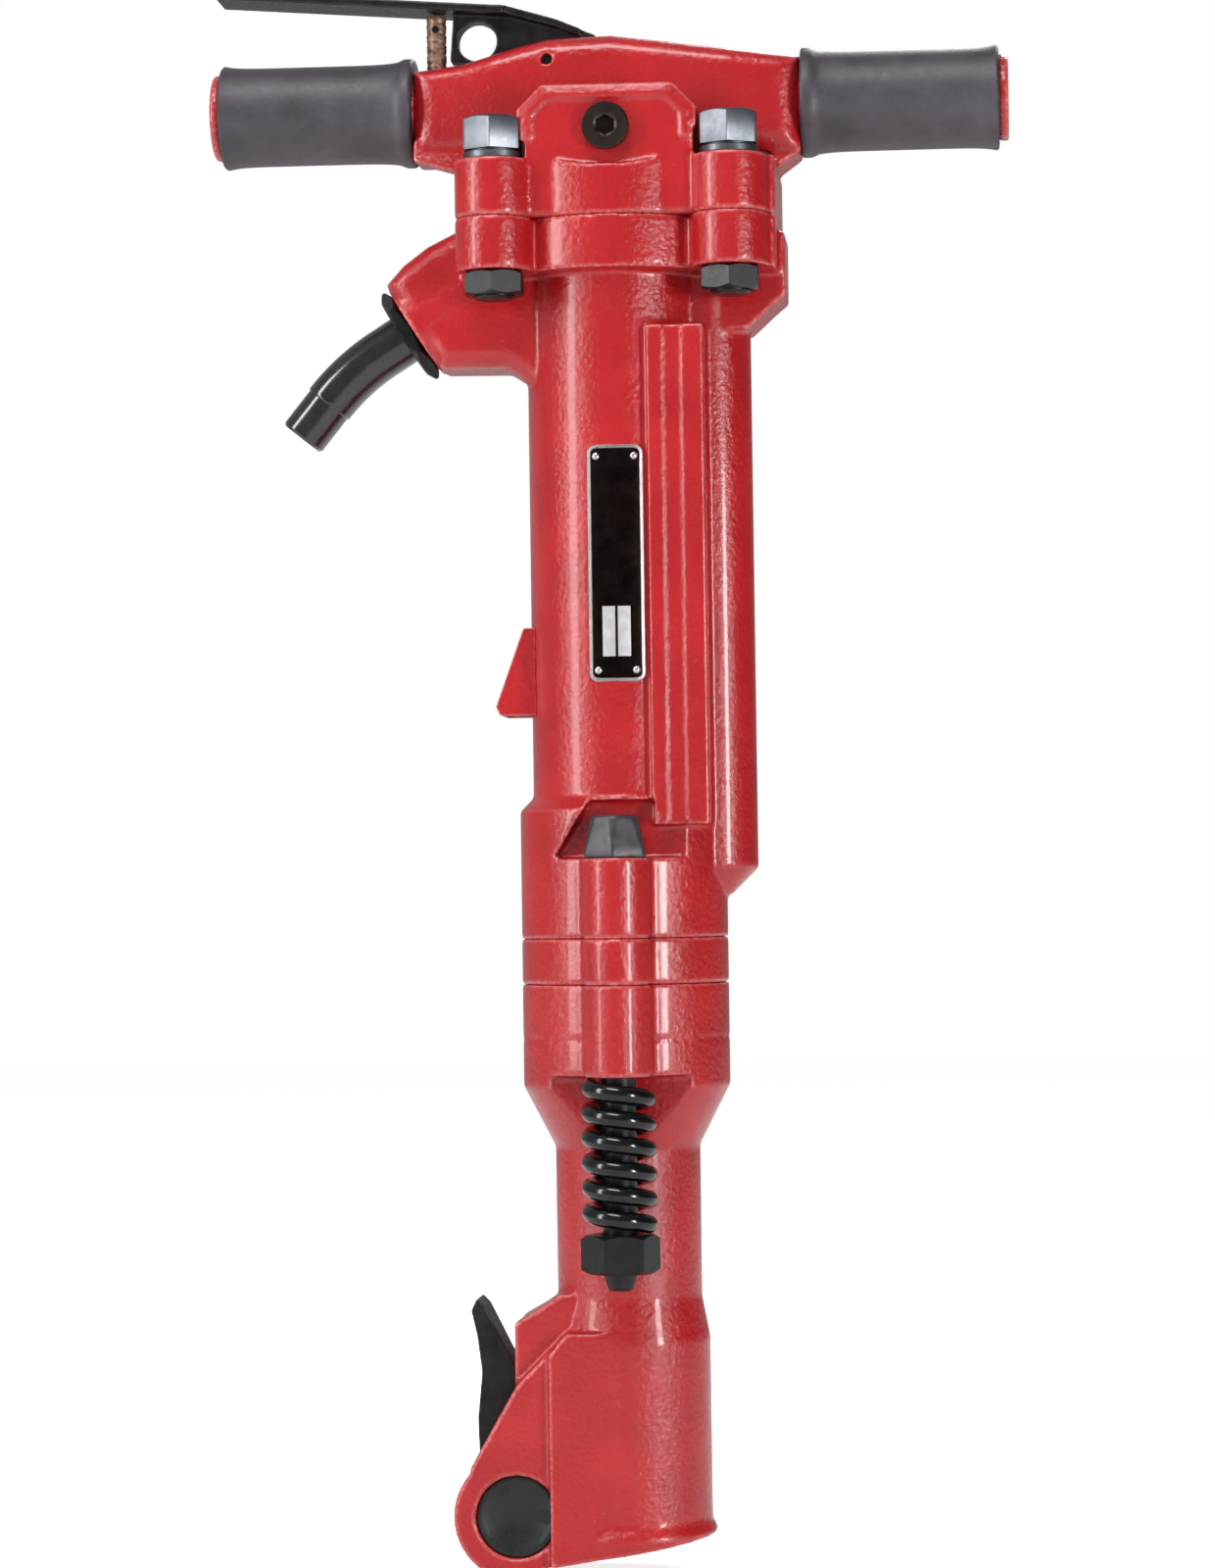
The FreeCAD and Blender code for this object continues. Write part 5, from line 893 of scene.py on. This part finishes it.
class BREAKER_OT_springs(bpy.types.Operator):
    """The two side springs, the throttle valve's spring and the detent's, wound by a node tree"""
    bl_idname = "breaker.springs"
    bl_label = "Springs"

    def execute(self, context):
        sizes = context.scene.breaker_sizes
        tree = coil_tree()
        offset = rod_offset()
        side = ("side_rod_springs", "machine", "front_head_recoil", low, sizes.spring_wire,
                sizes.spring_turns, "black_phosphate")
        for name, y, (node, body, stroke, fixed_end, wire, turns, look) in (
                ("side_spring_front", -offset, side),
                ("side_spring_rear", offset, side),
                ("throttle_spring_coil", 0.0, ("throttle_spring", "machine", "throttle_stroke", low, 1.0,
                                               5.0, "turned_steel")),
                ("retainer_spring_coil", 0.0, ("retainer_spring", "front_head", "detent_stroke", high, 0.7,
                                               7.0, "turned_steel"))):
            bottom, top = low(node), high(node)
            half = wire * MM / 2
            height = top.z - bottom.z
            x = (bottom.x + top.x) / 2
            coil = as_object(name, bpy.data.meshes.new(name))
            run_tree(coil, tree, {"Turns": turns, "Radius": (top.x - bottom.x) / 2 - half,
                                  "Rise": height - 2 * half, "Wire": half, "Steps": 56, "Around": 24,
                                  "Finish": finish(look)})
            coil.data.transform(Matrix.Translation((x, y, bottom.z + half)))
            finished(coil, body, look, node, angle=50)
            fixed_end(node).z
            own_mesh(coil)
        return {"FINISHED"}


class BREAKER_OT_fasteners(bpy.types.Operator):
    """Flange bolts with washers and nuts, and the side rods with their nuts"""
    bl_idname = "breaker.fasteners"
    bl_label = "Bolts and side rods"

    def execute(self, context):
        sizes = context.scene.breaker_sizes
        across = sizes.bolt_across * MM
        up = (0.0, 0.0, 1.0)
        bolts_low, bolts_high = low("flange_bolts"), high("flange_bolts")
        centre = (bolts_low + bolts_high) / 2
        solid_across = 27.0 * MM
        half_x = (bolts_high.x - bolts_low.x) / 2 - solid_across / 2
        half_y = (bolts_high.y - bolts_low.y) / 2 - solid_across / 2 / math.cos(math.pi / 6)
        spots = [(Vector((centre.x + sx * half_x, centre.y + sy * half_y, 0.0)), up)
                 for sx in (-1, 1) for sy in (-1, 1)]
        head_low = high("flange_washers").z + 0.1 * MM
        head_high = bolts_high.z
        shank = 9.0 * MM
        collar, collar_rise = across / 2 * 0.92, 0.6 * MM
        rings = [circle_points(collar, head_low), circle_points(collar, head_low + collar_rise)]
        rings += hexagon_rings(across, head_low + collar_rise, head_high - 0.2 * MM, both=False)
        rings.append(circle_points(across / 2 * 0.88, head_high - 0.05 * MM))
        rings.append(circle_points(across / 2 * 0.80, head_high))
        head = softened(rings_mesh("bolt_head", rings), 0.25, 2, 25)
        bolts = repeated("flange_bolt_heads", head, spots, "zinc")
        finished(bolts, "machine", "zinc", angle=28)
        stud_low = low("flange_nuts").z + 0.8 * MM
        stud = turned("bolt_shank", [(0.0, stud_low), (shank - 1.2 * MM, stud_low),
                                     (shank, stud_low + 1.2 * MM), (shank, head_low + 2 * MM),
                                     (0.0, head_low + 2 * MM)], 48)
        shanks = repeated("flange_bolt_shanks", stud, spots, "nut_black")
        finished(shanks, "machine", "nut_black", "flange_bolts", angle=28)
        washer_low, washer_high = low("flange_washers").z, high("flange_washers").z
        outer = 13.2 * MM
        inner = 9.1 * MM
        ring = [(inner, washer_low), (outer - 0.5 * MM, washer_low), (outer, washer_low + 0.5 * MM),
                (outer, washer_high - 0.5 * MM), (outer - 0.5 * MM, washer_high), (inner, washer_high)]
        washer = turned("washer", ring, 64, closed=True)
        washers = repeated("flange_lock_washers", washer, spots, "zinc")
        finished(washers, "machine", "zinc", "flange_washers", angle=28)
        nut_low, nut_high = low("flange_nuts").z + 2.5 * MM, high("flange_nuts").z
        nut = bored_nut("nut", across, shank, 0.05 * MM, nut_low, nut_high)
        nuts = repeated("flange_bolt_nuts", nut, spots, "nut_black")
        finished(nuts, "machine", "nut_black", "flange_nuts", angle=28)
        self.side_rods(sizes)
        return {"FINISHED"}

    def side_rods(self, sizes):
        """Rods with domed hexagon heads above and nuts below the springs."""
        bottom, top = low("side_rods"), high("side_rods")
        nut_low, nut_high = low("side_rod_nuts"), high("side_rod_nuts")
        ways = [(Vector((0.0, side * rod_offset(), 0.0)), (0.0, 0.0, 1.0)) for side in (-1, 1)]
        radius = 7.8 * MM
        tip = 5.5 * MM
        head_height = 18.7 * MM
        head_low = top.z - head_height
        head_across = 26.0 * MM
        straight, dome = 3.0, 15.0
        steps = 8
        rings = [hexagon_points(head_across, head_low), hexagon_points(head_across, head_low + straight * MM)]
        for i in range(1, steps + 1):
            share = i / steps
            rings.append(hexagon_points(head_across * (1 - 0.22 * share),
                                        head_low + (straight + dome * share) * MM,
                                        round_to=head_across / 2 * (1.15 - 0.33 * share)))
        rings.append(circle_points(head_across / 2 * 0.66, top.z))
        head = softened(rings_mesh("rod_head", rings), 0.8, 3, 24)
        heads = repeated("side_rod_heads", head, ways, "rod_grey")
        finished(heads, "machine", "rod_grey", angle=24)
        stem = turned("rod", [(0.0, bottom.z), (tip - 1.0 * MM, bottom.z), (tip, bottom.z + 0.8 * MM),
                              (radius, nut_low.z), (radius, head_low + 2 * MM), (0.0, head_low + 2 * MM)], 48)
        stems = repeated("side_rod_stems", stem, ways, "nut_black")
        finished(stems, "machine", "nut_black", "side_rods", angle=30)
        nut = bored_nut("side_nut", sizes.rod_nut_across * MM, radius, 0.1 * MM, nut_low.z, nut_high.z,
                        turn=math.radians(40))
        nuts = repeated("side_rod_lock_nuts", nut, ways, "nut_black")
        finished(nuts, "machine", "nut_black", "side_rod_nuts", angle=28)


class BREAKER_OT_inlet(bpy.types.Operator):
    """Bent inlet nipple and the nut that holds it in the swivel"""
    bl_idname = "breaker.inlet"
    bl_label = "Air inlet"

    def execute(self, context):
        swivel = joint("inlet_swivel")
        out = Vector(swivel["axis"]).normalized()
        face = Vector(swivel["pos_m"])
        side = Vector((0.0, 1.0, 0.0))
        lift = side.cross(out).normalized()
        if lift.z < 0:
            lift = -lift
        end = next(m for m in frame["record"]["mounts"] if m["name"] == "air_inlet")
        tail = Vector(end["axis"]).normalized()
        bend = math.acos(max(-1.0, min(1.0, out.dot(tail))))
        radius, end_radius, bore = 11.2 * MM, 10.5 * MM, 7.5 * MM
        bend_radius, straight, tail_length = 100 * MM, 17.5 * MM, 20 * MM
        stations = [(-16.7, 14.5, 0), (-14.5, 14.5, 0), (-14.3, 11.2, 0), (straight / MM, 11.2, 0)]
        path = []
        for along, r, turn in stations:
            path.append((face + out * along * MM, out, r * MM))
        steps = 28
        for i in range(1, steps + 1):
            angle = bend * i / steps
            ahead = straight + bend_radius * math.sin(angle)
            spot = face + out * ahead - lift * bend_radius * (1 - math.cos(angle))
            way = (out * math.cos(angle) - lift * math.sin(angle)).normalized()
            path.append((spot, way, radius))
        elbow, way = path[-1][0], path[-1][1]
        path += [(elbow + way * 0.3 * MM, way, radius - 0.1 * MM), (elbow + way * 0.8 * MM, way, end_radius),
                 (elbow + way * (tail_length - 1.2 * MM), way, end_radius),
                 (elbow + way * tail_length, way, end_radius - 1.0 * MM)]
        inside = [(spot, along, bore) for spot, along, r in reversed(path)]
        rings = []
        for spot, along, r in path + inside:
            across = side.cross(along).normalized()
            rings.append([spot + side * x + across * y for x, y, z in circle_points(r, 0.0, 64)])
        nipple = rings_mesh("bent_nipple", rings, closed=True)
        finished(nipple, "swivel", "nipple_black", "swivel_nipple", angle=35)
        turn = out.to_track_quat("Z", "X").to_matrix().to_4x4()
        place = Matrix.Translation(face) @ turn
        across = 39.6 * MM
        hole, thread = radius + 0.25 * MM, 16.3 * MM
        root, foot, crest = -13.9 * MM, 0.1 * MM, 6.0 * MM
        rings = [circle_points(hole, root), circle_points(thread, root), circle_points(thread, foot)]
        rings += hexagon_rings(across, foot, crest, turn=math.pi / 6)
        rings += [circle_points(hole + 1.5 * MM, crest), circle_points(hole, crest - 1.4 * MM)]
        nut = rings_mesh("swivel_nut_hexagon", rings, closed=True)
        nut.data.transform(place)
        finished(nut, "machine", "nut_black", "inlet_swivel_nut", angle=28)
        return {"FINISHED"}


class BREAKER_OT_nameplate(bpy.types.Operator):
    """A bare bent plate with a raised rim, two blank fields and four rivets"""
    bl_idname = "breaker.nameplate"
    bl_label = "Plate"

    def execute(self, context):
        bottom, top = low("nameplate"), high("nameplate")
        outer = -bottom.y
        inner = outer - 0.9 * MM
        centre_x = (bottom.x + top.x) / 2
        half_w, half_h = (top.x - bottom.x) / 2, (top.z - bottom.z) / 2
        centre_z = (bottom.z + top.z) / 2
        rim = context.scene.breaker_sizes.plate_rim * MM

        def bent(x, z, radius):
            angle = math.asin(max(-1.0, min(1.0, (centre_x + x) / outer)))
            return Vector((radius * math.sin(angle), -radius * math.cos(angle), centre_z + z))

        def rounded(inset, corner=4.0 * MM, steps=8):
            """A rounded rectangle inside the plate's edge."""
            w, h = half_w - inset, half_h - inset
            r = max(corner - inset, 0.2 * MM)
            points = []
            for quarter, (sx, sz) in enumerate(((1, 1), (-1, 1), (-1, -1), (1, -1))):
                for i in range(steps + 1):
                    angle = math.radians(90 * quarter + 90 * i / steps)
                    points.append((sx * (w - r) + r * math.cos(angle), sz * (h - r) + r * math.sin(angle)))
            return points

        def ring(inset, radius):
            return [bent(x, z, radius) for x, z in rounded(inset)]

        rings = [ring(0.0, inner), ring(0.0, outer - 0.3 * MM), ring(0.3 * MM, outer), ring(rim, outer),
                 ring(rim + 0.25 * MM, outer - 0.35 * MM), ring(rim + 0.25 * MM, inner)]
        border = rings_mesh("plate_rim_ring", rings, closed=True)
        finished(border, "machine", "plate_rim", "nameplate", angle=40)
        face_rings = []
        inset = rim + 0.1 * MM
        span = half_w - 0.05 * MM - inset
        columns = 12
        for i in range(columns + 1):
            share = (half_w - inset - span * i / columns) / (half_w - inset)
            face_rings.append([bent(x * share, z, outer - 0.35 * MM) for x, z in rounded(inset)])
        face = rings_mesh("plate_face", face_rings, caps=False)
        finished(face, "machine", "plate_dark", angle=40)
        fields = []
        strips, field_width = 6, 5.6
        low_z, high_z = -half_h + 11 * MM, -half_h + 33 * MM
        for left in (-6.3, 0.5):
            corners = []
            for i in range(strips + 1):
                x = (left + field_width * i / strips) * MM
                corners += [bent(x, low_z, outer - 0.25 * MM), bent(x, high_z, outer - 0.25 * MM)]
            faces = [(2 * i, 2 * i + 2, 2 * i + 3, 2 * i + 1) for i in range(strips)]
            fields.append(from_lists("field", corners, faces))
        blank = joined("plate_blank_fields", *fields)
        finished(blank, "machine", "plate_field")
        dome = [(r * MM, z * MM) for r, z in
                ((0.0, 1.0), (0.7, 0.92), (1.3, 0.62), (1.7, 0.0), (1.2, -0.4), (0.0, -0.4))]
        rivet = turned("rivet", dome, 24)
        spots = []
        for x in (-half_w + 4 * MM, half_w - 4 * MM):
            for z in (-half_h + 5 * MM, half_h - 5 * MM):
                spot = bent(x, z, outer - 0.3 * MM)
                spots.append((spot, Vector((spot.x, spot.y, 0.0)).normalized()))
        rivets = repeated("plate_drive_rivets", rivet, spots, "rivet")
        finished(rivets, "machine", "rivet", "nameplate_rivets", angle=60)
        return {"FINISHED"}


class BREAKER_OT_oil_plug(bpy.types.Operator):
    """Oil plug with its hexagon socket, on a seal"""
    bl_idname = "breaker.oil_plug"
    bl_label = "Oil plug"

    def execute(self, context):
        bottom, top = low("oil_plug"), high("oil_plug")
        radius = (top.x - bottom.x) / 2
        thick = 4.0 * MM
        socket = 8.0 * MM
        deep = 6.0 * MM
        place = along_y(middle("oil_plug").x, bottom.y + thick, middle("oil_plug").z, way=1)
        rings = [circle_points(radius * 0.6, -11.0 * MM), circle_points(6.9 * MM, -10.4 * MM),
                 circle_points(6.9 * MM, 0.0), circle_points(radius, 0.0),
                 circle_points(radius, thick - 0.8 * MM), circle_points(radius - 0.8 * MM, thick),
                 circle_points(socket / 2 * 1.35, thick), circle_points(socket / 2 * 1.25, thick - 0.3 * MM),
                 hexagon_points(socket, thick - 0.7 * MM), hexagon_points(socket, thick - deep),
                 circle_points(0.05 * MM, thick - deep)]
        plug = rings_mesh("oil_plug_screw", rings)
        plug.data.transform(place)
        finished(plug, "machine", "socket_brown", "oil_plug", angle=28)
        return {"FINISHED"}


class BREAKER_OT_inner(bpy.types.Operator):
    """Finishes on the solids that stay: the hammer, anvil, valve gear, seals and the rest inside"""
    bl_idname = "breaker.inner"
    bl_label = "Inner pieces"

    def execute(self, context):
        for look, nodes in (
                ("hard_steel", ("piston", "anvil", "valve_chest", "valve_seat", "distributor_valve",
                                "valve_dowel", "throttle_valve", "retainer_plunger")),
                ("turned_steel", ("chuck_bushing", "retainer_pin", "valve_cap")),
                ("bronze", ("throttle_seat",)),
                ("nut_black", ("throttle_plug",)),
                ("seal_rubber", ("oil_plug_seal", "swivel_seal")),
                ("mesh_steel", ("inlet_strainer",))):
            for node in nodes:
                mesh = frame["nodes"][node].data
                mesh.materials.clear()
                mesh.materials.append(finish(look))
        return {"FINISHED"}


class BREAKER_OT_stage(bpy.types.Operator):
    """Floor, soft light and the camera"""
    bl_idname = "breaker.stage"
    bl_label = "Stage"

    def execute(self, context):
        stage = context.scene.breaker_stage
        floor_mesh = bpy.data.meshes.new("floor")
        reach = 6.0
        corners = ((-1, -1), (1, -1), (1, 1), (-1, 1))
        floor_mesh.from_pydata([(x * reach, y * reach, 0) for x, y in corners], [], [(0, 1, 2, 3)])
        floor = as_object("floor", floor_mesh)
        floor.location.z = CAD_BOX[0][2] - 0.2 * MM
        paint = bpy.data.materials.new("floor_paper")
        paint.use_nodes = True
        tree = paint.node_tree
        tree.nodes.clear()
        rays = put(tree, "ShaderNodeLightPath")
        matt = put(tree, "ShaderNodeBsdfDiffuse", {"Color": linear("F4F4F4")})
        shine = put(tree, "ShaderNodeEmission", {"Color": linear("FFFFFF"), "Strength": 0.75})
        both = put(tree, "ShaderNodeAddShader", {0: matt.outputs[0], 1: shine.outputs[0]})
        seen = put(tree, "ShaderNodeMixShader", {0: rays.outputs["Is Camera Ray"], 1: matt.outputs[0],
                                                 2: both.outputs[0]})
        put(tree, "ShaderNodeOutputMaterial", {"Surface": seen.outputs[0]})
        floor.data.materials.append(paint)
        self.light(context)
        self.camera(context, stage)
        return {"FINISHED"}

    def light(self, context):
        """A pale world that shows as white and fades towards +X, and four soft lamps."""
        world = bpy.data.worlds.new("studio")
        context.scene.world = world
        world.use_nodes = True
        tree = world.node_tree
        tree.nodes.clear()
        rays = put(tree, "ShaderNodeLightPath")
        seen = put(tree, "ShaderNodeMath", {0: rays.outputs["Is Camera Ray"],
                                            1: rays.outputs["Is Transmission Ray"]}, operation="MAXIMUM")
        way = put(tree, "ShaderNodeTexCoord").outputs["Generated"]
        right = put(tree, "ShaderNodeSeparateXYZ", {"Vector": way}).outputs["X"]
        dim = put(tree, "ShaderNodeBackground", {"Color": linear("F2F4F6"),
                                                 "Strength": spread(tree, right, 0.0, 0.75, 0.34, 0.08)})
        white = put(tree, "ShaderNodeBackground", {"Color": linear("FFFFFF"), "Strength": 1.0})
        both = put(tree, "ShaderNodeMixShader", {0: seen.outputs[0], 1: dim.outputs[0], 2: white.outputs[0]})
        put(tree, "ShaderNodeOutputWorld", {"Surface": both.outputs[0]})
        for name, spot, aim, watts, width, height in (
                ("key", (-1.95, -1.27, 1.10), (0, 0, 0.45), 38.0, 0.44, 2.1),
                ("fill", (1.65, -1.50, 0.38), (0, 0, 0.30), 24.0, 0.26, 0.62),
                ("top", (-0.25, -1.15, 2.4), (0, 0, 0.45), 26.0, 1.1, 0.6),
                ("rim", (0.5, 1.5, 1.7), (0, 0, 0.5), 18.0, 0.9, 0.7)):
            lamp = bpy.data.lights.new(name, "AREA")
            lamp.shape = "RECTANGLE"
            lamp.size, lamp.size_y = width, height
            lamp.energy = watts
            obj = bpy.data.objects.new(name, lamp)
            obj.location = spot
            obj.rotation_mode = "QUATERNION"
            obj.rotation_quaternion = (Vector(aim) - Vector(spot)).to_track_quat("-Z", "Y")
            context.scene.collection.objects.link(obj)

    def camera(self, context, stage):
        """The camera of the photograph: a long lens a little to the right, low, with a slight roll."""
        lens = bpy.data.cameras.new("camera")
        lens.sensor_width = 36.0
        lens.lens = lens.sensor_width * stage.distance / stage.view_height
        lens.shift_x = stage.shift
        camera = bpy.data.objects.new("camera", lens)
        eye = Vector((stage.distance * math.sin(stage.azimuth), -stage.distance * math.cos(stage.azimuth),
                      stage.eye_height))
        aim = Vector((0.0, 0.0, stage.aim_height))
        camera.location = eye
        camera.rotation_mode = "QUATERNION"
        camera.rotation_quaternion = (aim - eye).to_track_quat("-Z", "Y") @ Quaternion((0, 0, 1), stage.roll)
        context.scene.collection.objects.link(camera)
        context.scene.camera = camera
        context.scene.view_settings.view_transform = "Standard"


OPERATORS = (BREAKER_OT_castings, BREAKER_OT_lever, BREAKER_OT_latch, BREAKER_OT_grips,
             BREAKER_OT_springs, BREAKER_OT_fasteners, BREAKER_OT_inlet, BREAKER_OT_nameplate,
             BREAKER_OT_oil_plug, BREAKER_OT_inner, BREAKER_OT_stage)


class BREAKER_PT_panel(bpy.types.Panel):
    """Lists the pieces in the sidebar"""
    bl_idname = "BREAKER_PT_panel"
    bl_label = "Breaker"
    bl_space_type = "VIEW_3D"
    bl_region_type = "UI"
    bl_category = "Breaker"

    def draw(self, context):
        for operator in OPERATORS:
            self.layout.operator(operator.bl_idname)


GROUPS = (("breaker_finish", BreakerFinish), ("breaker_sizes", BreakerSizes), ("breaker_stage", BreakerStage))


def register():
    """Register the classes and hang the settings on the scene."""
    for group in GROUPS:
        bpy.utils.register_class(group[1])
        setattr(bpy.types.Scene, group[0], bpy.props.PointerProperty(type=group[1]))
    for made in (*OPERATORS, BREAKER_PT_panel):
        bpy.utils.register_class(made)


def unregister():
    """Take the classes and settings off again."""
    for made in reversed((*OPERATORS, BREAKER_PT_panel)):
        bpy.utils.unregister_class(made)
    for name, group in reversed(GROUPS):
        delattr(bpy.types.Scene, name)
        bpy.utils.unregister_class(group)


def main():
    """Build every piece."""
    register()
    for operator in OPERATORS:
        area, name = operator.bl_idname.split(".")
        getattr(getattr(bpy.ops, area), name)()
    bpy.context.view_layer.update()


if __name__ == "__main__":
    main()
